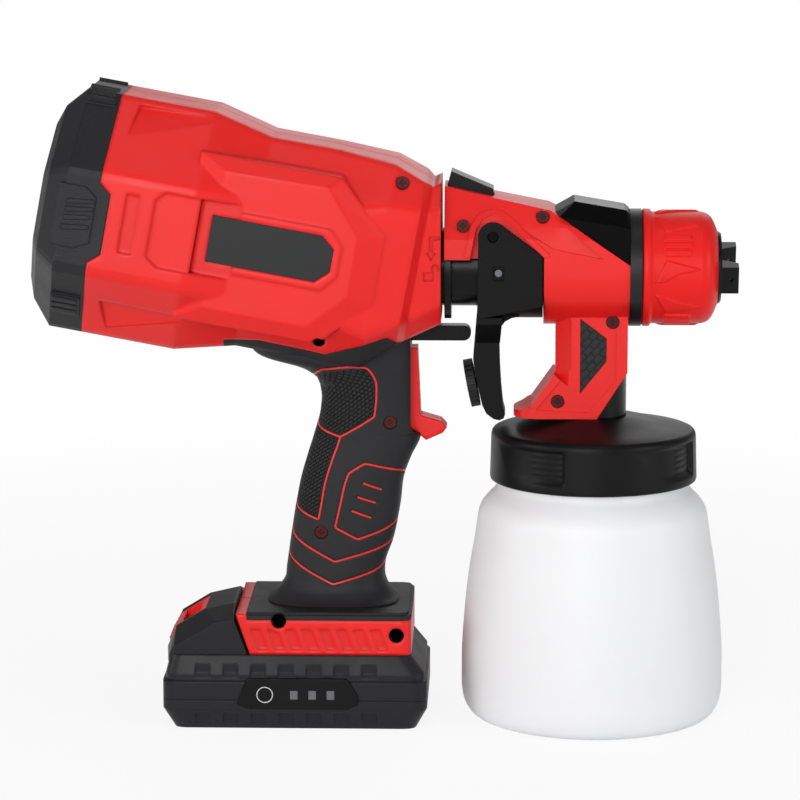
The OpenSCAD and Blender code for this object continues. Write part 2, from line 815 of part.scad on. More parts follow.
module head_bores(s) {
    at_axis() for (b = head_screw_spots)
        y_bar(b[0], b[1], s > 0 ? b[2] - screw_sink : -far, s > 0 ? far : screw_sink - b[2], 3);
}

// Clear way for the barrel, the trigger and the pieces inside the head
module head_hollow() {
    at_axis() {
        x_bar(0, head_x + 50, barrel_r + 0.05);
        x_bar(0, head_x + 3.1, 23.3);
        // recess of each trigger plate
        for (s = [-1, 1]) xz_plate(min(s * (trigger_w / 2 - plate_t - 0.4), s * far / 4),
            max(s * (trigger_w / 2 - plate_t - 0.4), s * far / 4)) trigger_arch();
        // slots for the collar of the needle drive
        translate([head_x + 14, -far / 4, -30]) cube([29.9, far / 2, 30 + 6.1]);
        translate([0, 0, pivot_up]) y_bar(pivot_x, 0, -far / 4, far / 4, pivot_r);
        // nose ring and fluid body
        x_bar(98, far, 20.1);
        x_bar(head_x + 44, 99, 22.2);
        translate([cup_x, 0, -far / 2]) cylinder(h = far / 2, r = 11.1);
        button_pocket(slip);
        translate([39, 0, 0]) cylinder(h = 25, r = 4.4);
        nose_cover_region(0.1);
    }
}

// Where the black nose cover sits on the head
module nose_cover_region(c) {
    xz_plate(-far / 4, far / 4) polygon([[76.5 - c, 26.5 - c], [ring_x, 3.9 - c],
        [ring_x + 10, 3.9 - c], [ring_x + 10, 60], [76.5 - c, 60]]);
}

module head_shell(s) {
    color("#e2261f") intersection() {
        difference() {
            head_solid(0);
            head_hollow();
            head_bores(s);
            at_axis() inset_region(s, 0.1);
            at_axis() mirror([0, s < 0 ? 0 : 1, 0]) cover_pocket();
            neck_cut(0.1);
        }
        keep_side(s);
    }
}

module head_shell_right() {
    head_shell(-1);
}

module head_shell_left() {
    head_shell(1);
}

module head_screws() {
    color("#7a1512") at_axis() for (b = head_screw_spots)
        screw_at(b[0], b[1], b[2] - screw_sink + 1.9, -1, 2.8);
}

function inset_points(e) = [[88.2 - e, -21.5 + e * 2], [99.6 + e, -30.2 + e], [99.6 + e, -40.2 - e],
    [88.2 - e, -54.6 - e * 2]];

module inset_region(s, e) {
    y0 = s * (pillar_w / 2 - pillar_sink - 1.3 - e);
    xz_plate(min(y0, s * far / 4), max(y0, s * far / 4)) polygon(inset_points(e));
}

module inset_pads() {
    y0 = pillar_w / 2 - pillar_sink - 1.3;
    color("#1a1a1b") at_axis() for (s = [-1, 1])
        xz_plate(min(s * y0, s * (y0 + 1.5)), max(s * y0, s * (y0 + 1.5))) polygon(inset_points(0));
}

module barrel() {
    color("#1d1d1f") at_axis() difference() {
        union() {
            x_bar(plug_x0, head_x + 46, barrel_r);
            x_bar(head_x, head_x + 3, 23.2);
            for (t = [0, 180]) rotate([t, 0, 0]) translate([13, -3, 0]) cube([10, 6, 19]);
        }
        difference() {
            x_bar(0, far, barrel_r - barrel_t);
            // web that the needle spring leans on, bored for the needle's tail
            difference() {
                translate([33, -far / 2, -4]) cube([2, far, 8]);
                x_bar(30, 40, needle_r + run);
            }
        }
        // slots of the needle drive screws
        translate([44.5, -far / 4, -2.6]) cube([10, far / 2, 5]);
    }
}

module nose_cover() {
    color("#1a1a1b") at_axis() intersection() {
        difference() {
            hull() {
                xz_plate(-13, 13)
                    polygon([[77, 26.4], [85.2, 31], [107.8, 27.2], [ring_x, 25.6], [ring_x, 10],
                        [98, 10]]);
                xz_plate(-22.5, 22.5)
                    polygon([[78, 25], [84, 24], [106, 21], [ring_x, 20], [ring_x, 4], [105, 7]]);
            }
            x_bar(98 - 0.1, far, 20.1);
            x_bar(head_x + 44, 99, 22.2);
        }
        nose_cover_region(0);
    }
}

module nose_ring() {
    color("#151516") at_axis() difference() {
        union() {
            x_bar(99, ring_x, 20);
            x_bar(ring_x, nut_x - 0.3, nut_r);
            x_bar(ring_x, nut_x + 14, 21);
        }
        x_bar(0, far, 9.1);
        translate([cup_x, 0, -far / 2]) cylinder(h = far / 2, r = 7.1);
        for (a = [30:60:330]) rotate([a, 0, 0]) translate([0, 0, 14.5]) x_bar(0, far, 3.4);
    }
}

module fluid_body() {
    color("#b9bbbe") difference() {
        union() {
            at_axis() x_bar(70, nut_x + 4, 9);
            translate([cup_x, 0, lid_top - 6]) cylinder(h = axis_z - lid_top + 6, r = 7);
            at_axis() translate([96, 0, 0]) x_bar(0, 3, 20);
        }
        at_axis() x_bar(78, far, 5);
        at_axis() x_bar(0, far, needle_r + 0.5);
        translate([cup_x, 0, 0]) cylinder(h = axis_z, r = tube_r + 0.02);
        at_axis() for (a = [30:60:330]) rotate([a, 0, 0]) translate([90, 0, 14.5]) x_bar(0, far, 3.4);
    }
}

module fluid_nozzle() {
    color("#c4c6c9") at_axis() difference() {
        union() {
            x_bar(nut_x + 4.1, nut_x + 14, 8);
            x_cone(nut_x + 14, nut_end - 1, 8, 2.4);
            x_bar(nut_x + 1, nut_x + 4.1, 4.9);
        }
        x_bar(0, nut_x + 16, needle_r + 1.2);
        x_bar(0, far, needle_r + slip);
    }
}

module needle_seal() {
    color("#c08a3e") at_axis() difference() {
        union() {
            x_bar(62, 69.9, 7);
            x_bar(62, 64, barrel_r - barrel_t - 0.05);
        }
        x_bar(0, far, needle_r + run);
        for (a = [0:60:300]) rotate([a, 0, 0]) translate([0, 0, 11]) x_bar(0, far, 2.6);
    }
}

module neck_cut(c) {
    // black collar of the neck below a slanted line
    at_axis() intersection() {
        translate([cup_x, 0, -pillar_drop - 1]) cylinder(h = 40, r = 14.5 + c);
        xz_plate(-far / 4, far / 4)
            polygon([[95.6 - c, -pillar_drop - 2], [cup_x + 20, -pillar_drop - 2],
                [cup_x + 20, -38.4 + c], [cup_x + 14.5, -45.3 + c],
                [95.6 - c, -pillar_drop + 0.4]]);
    }
}

module neck_tube() {
    color("#1a1a1b") difference() {
        union() {
            translate([cup_x, 0, lid_top + 0.1]) cylinder(h = 46, r = 11);
            neck_cut(0);
        }
        translate([cup_x, 0, 0]) cylinder(h = far, r = 7.05);
        translate([cup_x, 0, lid_top - 5]) cylinder(h = 5, r = 20);
    }
}

module trigger_pin() {
    color("#2a2a2c") at_axis() for (s = [-1, 1])
        y_bar(pivot_x, pivot_up, min(s * 11.5, s * (trigger_w / 2 - 1.4)),
            max(s * 11.5, s * (trigger_w / 2 - 1.4)),
            pivot_r - run);
}

// ---- release button ----

function button_points(c) = [[29.2 - c, 30], [29.2 - c, 38.6], [30.6 - c, 43.6 + c],
    [49.6 + c, 35.6 + c], [49.2 + c, 30]];

module button_pocket(c) {
    xz_plate(-8 - c, 8 + c) polygon([[29.2 - c, 20], [29.2 - c, 60], [49.2 + c, 60], [49.2 + c, 20]]);
    translate([28.9, -9.8, 24]) cube([20.6, 19.6, 5.6]);
}

module release_button() {
    color("#1d1d1f") at_axis() {
        xz_plate(-8, 8) intersection() {
            polygon(button_points(0));
            translate([29.2, 20]) square([20, 40]);
        }
        translate([29.4, -9.4, 27.6]) cube([19.6, 18.8, 1.8]);
        xz_plate(-8, 8) translate([29.2, 28]) square([20, 3]);
    }
}

module button_spring() {
    color("#b8b8bc") at_axis() translate([39, 0, barrel_r + 0.15]) coil(27.6 - barrel_r - 0.3, 4, 3.4, 0.4);
}

// ---- trigger ----

lever_bow = [[42.1, -19], [41.6, -25], [40.8, -35], [40.4, -40.2], [41.2, -46], [43, -54.5], [44.5, -61.2],
    [46.4, -65.1], [49.6, -67.5], [52.2, -68.1], [54.2, -67.2], [54.8, -65.5], [53.9, -62.2], [53, -53.6],
    [52.4, -44], [52.2, -36], [52, -29.6], [52.7, -26], [54.6, -23.4], [57.6, -21.8], [61, -21.2], [61, -19]];

// Flat outline of one trigger plate with the lobe round the pivot
module plate_outline() {
    difference() {
        union() {
            translate([pivot_x, pivot_up]) circle(r = 6.5);
            polygon([[42.6, pivot_up], [42.2, -20.6], [71.3, -15], [71.3, 7.4], [54, pivot_up + 4.4]]);
        }
        translate([pivot_x, pivot_up]) circle(r = pivot_r);
    }
}

module trigger() {
    inner = barrel_r + 0.8;
    color("#19191a") at_axis() difference() {
        union() {
            for (s = [-1, 1]) xz_plate(min(s * trigger_w / 2, s * (trigger_w / 2 - plate_t)),
                max(s * trigger_w / 2, s * (trigger_w / 2 - plate_t))) plate_outline();
            // trough that closes the plates under the barrel
            intersection() {
                x_bar(52.4, 71.3, trigger_w / 2);
                translate([0, -far / 2, -far]) cube([far, far, far]);
            }
            // shoulder down to the finger lever
            hull() {
                xz_plate(-trigger_w / 2 + 1, trigger_w / 2 - 1)
                    polygon([[42.2, -20], [53.4, -20], [53.2, -23], [42, -23]]);
                xz_plate(-lever_w / 2, lever_w / 2) polygon([[42.2, -20], [53.4, -20], [52.4, -33],
                    [41.6, -33]]);
            }
            xz_plate(-lever_w / 2, lever_w / 2) polygon(lever_bow);
        }
        // clear of the barrel, and more so where the trigger swings when it is pulled
        x_bar(30, far, inner);
        x_bar(30, 52.5, barrel_r + 2.8);
        // recess round each drive screw
        for (s = [-1, 1])
            xz_plate(min(s * (trigger_w / 2 - 1.3), s * far / 4), max(s * (trigger_w / 2 - 1.3), s * far / 4))
                polygon(soften([[drive_x - 2.5, -3.4], [drive_x + 2.5, -3.4], [drive_x + 2.5, 2.8],
                    [drive_x - 2.5, 2.8]], 1.6));
        translate([0, 0, pivot_up]) y_bar(pivot_x, 0, -far / 4, far / 4, pivot_r);
        y_bar(drive_x, 0, -far / 4, far / 4, 1.6);
        translate(knob_pos) rotate([0, knob_turn, 0]) translate([0, 0, -1]) cylinder(h = 9, r = 2.02);
    }
}

drive_x = 51.6;
knob_turn = 78.7;
knob_pos = [40.1, 0, -52.46];

module drive_screws() {
    color("#b8b8bc") at_axis() for (s = [-1, 1])
        y_bar(drive_x, 0, min(s * (needle_r + 0.9), s * (trigger_w / 2 - 0.4)),
            max(s * (needle_r + 0.9), s * (trigger_w / 2 - 0.4)), 1.6);
}

module flow_knob() {
    color("#161617") at_axis() translate(knob_pos) rotate([0, knob_turn, 0]) difference() {
        union() {
            translate([0, 0, -knob_t / 2 - 0.3]) cylinder(h = knob_t, r = knob_d / 2);
            cylinder(h = 7, r = 2.02 - run);
        }
        for (a = [0:15:345]) rotate([0, 0, a])
            translate([knob_d / 2 - 0.6, -0.7, -knob_t]) cube([2, 1.4, 2 * knob_t]);
        translate([0, 0, -knob_t / 2 - 1]) difference() {
            cylinder(h = 1.6, r = 6);
            cylinder(h = 1.6, r = 2.4);
        }
    }
}

module needle() {
    color("#c9cbce") at_axis() {
        x_bar(29, nut_end - 3.5, needle_r);
        x_cone(nut_end - 3.5, nut_end - 0.6, needle_r, 0.4);
        x_bar(drive_x - 5.4, drive_x - 1.75, 5);
    }
}

module needle_spring() {
    color("#b8b8bc") at_axis() translate([35.1, 0, 0]) rotate([0, 90, 0]) coil(drive_x - 5.5 - 35.1, 5,
        2.9, 0.45);
}

// ---- nozzle ----

module nozzle_nut() {
    color("#e2261f") at_axis() difference() {
        translate([nut_x, 0, 0]) rotate([0, 90, 0]) rotate_extrude()
            polygon([[21.3, 0], [nut_r, 0], [nut_r, 3.2], [nut_r - 0.7, 4.4],
                [nut_r - 0.9, nut_l - 8.6], [nut_r - 2, nut_l - 4.6],
                [nut_r - 4.6, nut_l - 1.6], [nut_r - 8.6, nut_l], [cap_r + slip, nut_l],
                    [cap_r + slip, nut_l - 5],
                [19.9, nut_l - 5], [19.9, 16], [21.3, 16]]);
        // grip flutes
        for (a = [0:9:351]) rotate([a, 0, 0]) translate([nut_x + 10, -0.9, nut_r - 1.5]) cube([12, 1.8, 3]);
    }
}

module air_cap() {
    color("#141415") at_axis() rotate([15, 0, 0]) difference() {
        union() {
            translate([nut_end, 0, 0]) rotate([0, 90, 0]) rotate_extrude()
                polygon([[2.4 + slip + 0.6, -2.5], [10, -3.5], [13.4, -5.4], [13.4, -9], [19.5, -9],
                    [19.5, -5.4], [cap_r, -5.4],
                    [cap_r, 0.4], [cap_r - 0.8, 1.4], [9, 1.8], [2.4 + slip + 0.6, 0.6]]);
            for (s = [-1, 1]) hull() {
                translate([nut_end - 1, s > 0 ? 6 : -15, -6.2]) cube([2, 9, 12.4]);
                translate([nut_end + horn_l - 1, s > 0 ? 9.6 : -15, -6.2]) cube([1, 5.4, 12.4]);
            }
        }
        for (s = [-1, 1]) translate([nut_end + horn_l - 3.4, 0, 0]) rotate([s * 90, 0,
            0]) cylinder(h = 30, r = 0.9);
    }
}

// ---- cup ----

neck_r = lid_r - 3.6;

module cup_lid() {
    color("#1d1d1f") translate([cup_x, 0, 0]) difference() {
        rotate_extrude($fn = 96) polygon([[neck_r + slip, lid_bottom], [lid_r - 0.6, lid_bottom],
            [lid_r, lid_bottom + 1.2],
            [lid_r - 0.5, lid_top - 8.4], [lid_r - 3.2, lid_top - 5], [16, lid_top - 0.2],
                [16, lid_top], [7.2, lid_top],
            [7.2, lid_top - 3], [16, lid_top - 3.6], [neck_r - 4, lid_top - 8],
                [neck_r + slip, lid_top - 9.4]]);
        // grip scallops round the rim
        for (a = [0:60:300]) rotate([0, 0, a + 8]) translate([lid_r + 38.6, 0,
            lid_bottom + 3]) cylinder(h = 15, r = 40);
    }
}

module cup_gasket() {
    color("#d8d8d8") translate([cup_x, 0, lid_top - 11.6]) difference() {
        cylinder(h = 2.1, r = neck_r + slip - 0.05);
        translate([0, 0, -1]) cylinder(h = 5, r = neck_r - 3.6);
    }
}

module cup() {
    rim = lid_top - 11.9;
    color([0.91, 0.92, 0.93, 0.92]) translate([cup_x, 0, 0]) rotate_extrude($fn = 96)
        polygon([[0, 0], [cup_r - 12, 0], [cup_r - 6, 1.8], [cup_r - 2, 6], [cup_r, 13], [cup_r, 30],
            [cup_r - 6.6, lid_bottom - 22],
            [cup_r - 7.6, lid_bottom - 13], [cup_r - 9.6, lid_bottom - 10.4],
                [neck_r + 1, lid_bottom - 4.6],
            [neck_r, lid_bottom - 3.6], [neck_r, rim], [neck_r - cup_t, rim],
                [neck_r - cup_t, lid_bottom - 4.6],
            [cup_r - 9.8 - cup_t, lid_bottom - 11.6], [cup_r - 7.8 - cup_t, lid_bottom - 14],
                [cup_r - 6.6 - cup_t, lid_bottom - 22],
            [cup_r - cup_t, 30], [cup_r - cup_t, 13.4], [cup_r - 3.6 - cup_t, 7],
                [cup_r - 7 - cup_t, 3.4], [cup_r - 13, cup_t], [0, cup_t]]);
}

module pickup_tube() {
    color("#e4e4e4") translate([cup_x, 0, 0]) difference() {
        translate([0, 0, 7]) cylinder(h = lid_top + 20 - 7, r = tube_r);
        cylinder(h = far, r = tube_r - 1);
        translate([-far / 2, -1, 0]) cube([far, 2, 9]);
    }
}

// ---- battery ----

module batt_plan(inset, nose = 0) {
    x1 = batt_l - 2 * inset - nose;
    y1 = batt_w - 2 * inset;
    translate([batt_x0 + inset, -batt_w / 2 + inset])
        polygon(soften(soften([[0, 0], [x1, 0], [x1, y1], [0, y1]], 12), 4));
}

batt_split = batt_h * 0.41;

// Height of the ledge round the pack, and how far the band above it stands in
ledge_z = batt_h * 0.67;
ledge_in = 1.3;

module battery_form() {
    hull() {
        linear_extrude(0.2) batt_plan(batt_bevel);
        translate([0, 0, bevel_h]) linear_extrude(ledge_z - 0.7 - bevel_h) batt_plan(0);
        translate([0, 0, ledge_z - 0.2]) linear_extrude(0.2) batt_plan(0.7);
    }
    hull() {
        translate([0, 0, ledge_z - 1]) linear_extrude(batt_h * 0.08 + 1) batt_plan(ledge_in);
        translate([0, 0, batt_h - 0.2]) linear_extrude(0.2) batt_plan(3.4, 4.4);
    }
}

// Seven grooves down each flank, cut with one section [y, z] at the right flank
module flank_grooves(section) {
    for (i = [0:6])
        for (s = [0, 1])
            mirror([0, s, 0]) translate([batt_x0 + 14.8 + i * groove_pitch, 0, 0])
                rotate([90, 0, 90]) linear_extrude(groove_w) polygon(section);
}

groove_pitch = 12.4;
groove_w = 6.8;

// Side outlines of the rear hump at its flank and along its middle
hump_front = [[foot_x0 + foot_slant - 1.1, batt_h - 6], [foot_x0 + foot_slant - 1.1, batt_h - 0.5]];
hump_low = concat([[batt_x0 + 3, batt_h - 6]], hump_front, [[foot_x0 - 0.6, batt_h + hump_h - 4.4],
    [foot_x0 - 8.8, batt_h + hump_h - 5.6], [batt_x0 + 5, batt_h + 3.4], [batt_x0 + 3, batt_h]]);
hump_high = concat([[batt_x0 + 1, batt_h - 6]], hump_front, [[foot_x0 - 1, batt_h + hump_h],
    [batt_x0 + 17.8, batt_h + hump_h - 3.2], [batt_x0 + 5, batt_h + 9.2], [batt_x0 + 1, batt_h]]);

module battery_hump() {
    flank = batt_w / 2 - 5;
    skin([[for (q = hump_low) [q[0], flank, q[1]]], [for (q = hump_high) [q[0], 17, q[1]]],
        [for (q = hump_high) [q[0], -17, q[1]]], [for (q = hump_low) [q[0], -flank, q[1]]]]);
}

module battery_rail() {
    intersection() {
        translate([foot_x0, -rail_w / 2, batt_h - 1]) cube([foot_x1 - 12 - foot_x0, rail_w, 11.4]);
        translate([foot_x0, -far / 2, 0]) cube([far, far, far]);
    }
}

module cell_bay(c) {
    for (i = [0:4]) y_bar(batt_x0 + 17 + i * (cell_d + 0.4), 13, -33.2 + c, 33.2 - c, cell_d / 2 + c);
}

module battery_lower() {
    color("#2a2a2d") difference() {
        intersection() {
            battery_form();
            translate([-far, -far, 0]) cube([2 * far, 2 * far, batt_split]);
        }
        cell_bay(0.3);
        translate([batt_x0 + 9, -33.2, 11.2]) cube([92, 66.4, far]);
        gauge_seat(0.1);
        flank_grooves([[-batt_w / 2 - 2, 8.4], [-batt_w / 2 + 1.9, 8], [-batt_w / 2 + 3.4, 4.2],
            [-batt_w / 2 + 3.9, 1], [-batt_w / 2 - 2, 1]]);
    }
}

module battery_upper() {
    color("#2a2a2d") difference() {
        union() {
            intersection() {
                battery_form();
                translate([-far, -far, batt_split + 0.1]) cube([2 * far, 2 * far, batt_h]);
            }
            battery_hump();
            battery_rail();
        }
        cell_bay(0.3);
        translate([batt_x0 + 9, -33.2, 0]) cube([92, 66.4, 24]);
        gauge_seat(0.1);
        flank_grooves([[-batt_w / 2 - 2, ledge_z + 0.1], [-batt_w / 2 + 0.8, ledge_z + 0.1],
            [-batt_w / 2 + 2.5, ledge_z + 3.2], [-batt_w / 2 + 2.5, batt_h - 3.4],
                [-batt_w / 2 - 2, batt_h - 1]]);
        // bay of the release latch
        translate([batt_x0 - 1, -14 - slip, latch_z - 3.4]) cube([19 + slip, 28 + 2 * slip, far]);
        // contact slots in the rail
        for (y = [-10, 0, 10]) translate([-14, y - 1.5, batt_h + 3]) cube([far, 3, 20]);
    }
}

module battery_cells() {
    color("#2f7f9f") intersection() {
        for (i = [0:4]) y_bar(batt_x0 + 17 + i * (cell_d + 0.4), 13, -32.5, 32.5, cell_d / 2);
        translate([-far, -far, 0]) cube([2 * far, 2 * far, batt_h - 3]);
    }
}

module battery_contacts() {
    color("#c8a04a") for (y = [-10, 0, 10]) translate([-13.6, y - 0.5, batt_h + 3]) cube([12, 1, 6.6]);
}

gauge_points = [[-59.4, batt_h * 0.3], [-15, batt_h * 0.3], [-10.6, batt_h * 0.36],
    [-10.2, batt_h * 0.47], [-15, batt_h * 0.71],
    [-59.4, batt_h * 0.71], [-64, batt_h * 0.36]];

module gauge_seat(c) {
    xz_plate(-batt_w, -batt_w / 2 + 1.2 + c) offset(delta = c) polygon(gauge_points);
}

module gauge_panel() {
    color("#1f1f21") difference() {
        xz_plate(-batt_w / 2 - 0.6, -batt_w / 2 + 1.2) polygon(gauge_points);
        for (i = [0:2]) window_box(i, 0.1);
        y_bar(-51.8, batt_h * 0.49, -batt_w, -batt_w / 2 - 0.2, 3.9);
    }
}

module window_box(i, c) {
    translate([-38.8 + 8.2 * i - 1.7 - c, -batt_w / 2 - 0.5 - (c > 0 ? 5 : 0), batt_h * 0.49 - 2 - c])
        cube([3.4 + 2 * c, 1.2 + (c > 0 ? 5 + c : 0), 4 + 2 * c]);
}

module gauge_windows() {
    color("#6a6a6e") for (i = [0:2]) window_box(i, 0);
}

latch_z = batt_h + 1;

module battery_latch() {
    color("#d4231c") difference() {
        union() {
            xz_plate(-14, 14) polygon([[batt_x0 + 1.6, latch_z], [batt_x0 + 18, latch_z],
                [batt_x0 + 18, batt_h + hump_h - 3.6], [batt_x0 + 5.4, batt_h + 8.8],
                [batt_x0 + 1.6, batt_h + 2]]);
            // finger ribs down the rear slope
            for (i = [0:3]) y_bar(batt_x0 + 2 + i * 0.95, batt_h + 2.7 + i * 1.7, -12, 12, 0.62);
        }
        // finger scoop
        xz_plate(-11, 11) polygon([[batt_x0 + 7.4, batt_h + 5.6], [batt_x0 + 15.6, batt_h + 8.6],
            [batt_x0 + 15.6, far],
            [batt_x0 + 7.4, far]]);
    }
}

module latch_spring() {
    color("#b8b8bc") translate([batt_x0 + 12, 0, latch_z - 3.3]) coil(3.2, 2, 3, 0.4);
}

right_housing();
left_housing();
rear_cap();
intake_filter();
housing_screws();
grip_rubber_right();
grip_rubber_left();
label_plate();
turbine_case();
motor_can();
motor_mount();
outlet_duct();
socket_seal();
switch_body();
terminal_block();
wire_loom();
impeller();
motor_shaft();
switch_rod();
rod_spring();
lock_collar();
head_shell_right();
head_shell_left();
barrel();
nose_cover();
nose_ring();
fluid_body();
fluid_nozzle();
needle_seal();
trigger_pin();
head_screws();
inset_pads();
neck_tube();
pickup_tube();
cup_lid();
release_button();
button_spring();
trigger();
drive_screws();
needle();
needle_spring();
flow_knob();
air_cap();
nozzle_nut();
cup();
cup_gasket();
battery_lower();
battery_upper();
battery_cells();
battery_contacts();
gauge_panel();
gauge_windows();
battery_latch();
latch_spring();
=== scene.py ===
import math
import bmesh
import bpy
import numpy as np
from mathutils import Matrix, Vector


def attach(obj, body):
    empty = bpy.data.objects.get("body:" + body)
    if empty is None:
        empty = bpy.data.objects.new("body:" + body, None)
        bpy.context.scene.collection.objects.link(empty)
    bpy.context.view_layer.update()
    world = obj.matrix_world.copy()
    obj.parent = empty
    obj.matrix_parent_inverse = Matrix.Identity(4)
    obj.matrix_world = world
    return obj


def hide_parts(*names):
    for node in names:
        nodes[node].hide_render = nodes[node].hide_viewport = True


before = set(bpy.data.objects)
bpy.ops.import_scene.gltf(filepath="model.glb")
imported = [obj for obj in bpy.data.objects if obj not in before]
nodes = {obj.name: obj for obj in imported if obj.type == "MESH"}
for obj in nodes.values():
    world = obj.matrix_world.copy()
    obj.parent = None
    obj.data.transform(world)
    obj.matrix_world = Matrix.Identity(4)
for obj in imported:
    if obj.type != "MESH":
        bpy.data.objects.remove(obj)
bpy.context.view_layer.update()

print("frame loaded:", len(nodes), "nodes")

def hexToLinear(text):
    # sRGB hex to linear, with the standard curve per channel
    channels = []
    for i in (1, 3, 5):
        c = int(text[i:i + 2], 16) / 255
        channels.append(c / 12.92 if c <= 0.04045 else ((c + 0.055) / 1.055) ** 2.4)
    return (*channels, 1.0)

def addNode(tree, kind, settings=None, links=None):
    # one node: settings are its properties or the constants of its sockets, links feed its sockets
    node = tree.nodes.new(kind)
    for key, value in (settings or {}).items():
        if isinstance(key, str) and hasattr(node, key):
            setattr(node, key, value)
        else:
            node.inputs[key].default_value = value
    for key, source in (links or {}).items():
        tree.links.new(source, node.inputs[key])
    return node

def emptyTree(owner):
    # the node tree of a material or a world, cleared
    owner.use_nodes = True
    owner.node_tree.nodes.clear()
    return owner.node_tree

def addObject(name, data):
    # an object of this data, linked to the scene
    thing = bpy.data.objects.new(name, data)
    bpy.context.scene.collection.objects.link(thing)
    return thing

def newMaterial(name, settings):
    # a Principled material and its tree, ready for the pattern nodes
    material = bpy.data.materials.new(name)
    tree = emptyTree(material)
    shader = addNode(tree, "ShaderNodeBsdfPrincipled", settings)
    addNode(tree, "ShaderNodeOutputMaterial", None, {"Surface": shader.outputs[0]})
    material.diffuse_color = settings.get("Base Color", (0.5, 0.5, 0.5, 1))
    return material, tree, shader

def addNoise(tree, vector, size, **settings):
    # noise with features this many millimetres wide on Object coordinates
    return addNode(tree, "ShaderNodeTexNoise", {"Scale": 1000 / size, **settings}, {"Vector": vector})

def addBump(tree, shader, strength, distance, **links):
    # height fed into the shader's normal, over a distance in metres
    bump = addNode(tree, "ShaderNodeBump", {"Strength": strength, "Distance": distance}, links)
    tree.links.new(bump.outputs["Normal"], shader.inputs["Normal"])

def varyGloss(tree, shader, waves, look):
    # the roughness wanders round its mean with the noise
    gloss = addNode(tree, "ShaderNodeMapRange", {"From Min": 0.3, "From Max": 0.7,
        "To Min": look["rough"] - look["smoother"], "To Max": look["rough"] + look["rougher"]},
        {"Value": waves.outputs["Fac"]})
    tree.links.new(gloss.outputs["Result"], shader.inputs["Roughness"])

# what a moulded part has unless its look says otherwise; grain, wave and edge are in mm, tone is the share by which
# the colour wanders, smoother and rougher bound the gloss, and samples are those of the rounded edges
mouldedUsual = {"ior": 1.5, "specular": 0.5, "coat": 0.0, "coatRough": 0.12, "wave": 24, "tone": 0.04, "samples": 4,
    "smoother": 0.04, "rougher": 0.05}

def moulded(name, **look):
    # moulded plastic: a fine spark-eroded grain, a quarter as high as wide, slow waves in the gloss, rounded edges
    look = {**mouldedUsual, **look}
    material, tree, shader = newMaterial(name, {"Base Color": hexToLinear(look["colour"]), "Roughness": look["rough"],
        "IOR": look["ior"], "Coat Weight": look["coat"], "Coat Roughness": look["coatRough"],
        "Specular IOR Level": look["specular"]})
    place = addNode(tree, "ShaderNodeTexCoord").outputs["Object"]
    grain = addNoise(tree, place, look["grain"], Detail=3.0, Roughness=0.6)
    waves = addNoise(tree, place, look["wave"], Detail=2.0)
    varyGloss(tree, shader, waves, look)
    tone = addNode(tree, "ShaderNodeMapRange", {"From Min": 0.25, "From Max": 0.75, "To Min": 1 - look["tone"],
        "To Max": 1 + look["tone"]}, {"Value": waves.outputs["Fac"]})
    tint = addNode(tree, "ShaderNodeHueSaturation", {"Color": hexToLinear(look["colour"])},
        {"Value": tone.outputs["Result"]})
    tree.links.new(tint.outputs["Color"], shader.inputs["Base Color"])
    soft = addNode(tree, "ShaderNodeBevel", {"samples": look["samples"], "Radius": look["edge"] / 1000})
    addBump(tree, shader, look["bump"], look["grain"] / 4000, Height=grain.outputs["Fac"],
        Normal=soft.outputs["Normal"])
    return material

# streaks are this many mm wide before the stretch, and this many metres high
metalUsual = {"stretch": (1, 1, 1), "streak": 0.6, "bump": 0.12, "height": 0.00005, "smoother": 0.07, "rougher": 0.08}

def metal(name, **look):
    # turned or drawn metal: fine streaks along one axis in the gloss
    look = {**metalUsual, **look}
    material, tree, shader = newMaterial(name, {"Base Color": hexToLinear(look["colour"]), "Metallic": 1.0,
        "Roughness": look["rough"]})
    place = addNode(tree, "ShaderNodeTexCoord").outputs["Object"]
    stretch = addNode(tree, "ShaderNodeMapping", {"Scale": look["stretch"]}, {"Vector": place})
    streaks = addNoise(tree, stretch.outputs["Vector"], look["streak"], Detail=2.0)
    varyGloss(tree, shader, streaks, look)
    addBump(tree, shader, look["bump"], look["height"], Height=streaks.outputs["Fac"])
    return material

# glossy ABS with a faint satin grain: bright red with broad, soft highlights
redLook = {"colour": "#da1c19", "rough": 0.38, "grain": 0.5, "bump": 0.10, "specular": 0.3}
redAbs = moulded("abs_red_satin_moulded", **redLook, edge=0.9)
# the fan body's mould has fuller radii, so its facets roll into each other
housingAbs = moulded("abs_red_satin_housing", **redLook, edge=2.4, samples=8)
# the spray head's mould has crisper edges
headAbs = moulded("abs_red_satin_head", **redLook, edge=0.4)
# oiled dark screws sunk in the red: nearly black; their dark red is a painted reflection, the faint red glow from the
# walls of their recesses
screwAbsRedReflection = moulded("abs_black_screw_painted_red_reflection", colour="#450504", rough=0.3, grain=0.6, bump=0.1, edge=0.3, specular=0.22)
# TPE overmould: charcoal, dull, with a fine leathery grain that catches soft light
gripRubber = moulded("tpe_charcoal_overmould", colour="#1c1c1e", rough=0.56, grain=0.7, bump=0.35, edge=0.8,
    specular=0.25)
# spark-eroded ABS of the rear cap: a visible coarse grain that breaks up the highlight
capAbs = moulded("abs_black_spark_eroded", colour="#161619", rough=0.46, grain=0.9, bump=0.7, edge=0.9,
    specular=0.28)
# polished black ABS: deep colour and a sharper highlight
glossAbs = moulded("abs_black_polished", colour="#060607", rough=0.3, grain=0.6, bump=0.06, edge=0.7, specular=0.17)
# the trigger guard's plate: the same black, coarser, so it stays dark in the broad light
plateAbs = moulded("abs_black_textured", colour="#040405", rough=0.5, grain=0.8, bump=0.3, edge=0.7, specular=0.14)
# the nose cover's mould is polished further: near black, with one sharp highlight along its edges
noseAbs = moulded("abs_black_mirror_polished", colour="#020203", rough=0.2, grain=0.8, bump=0.03, edge=0.7,
    specular=0.08)
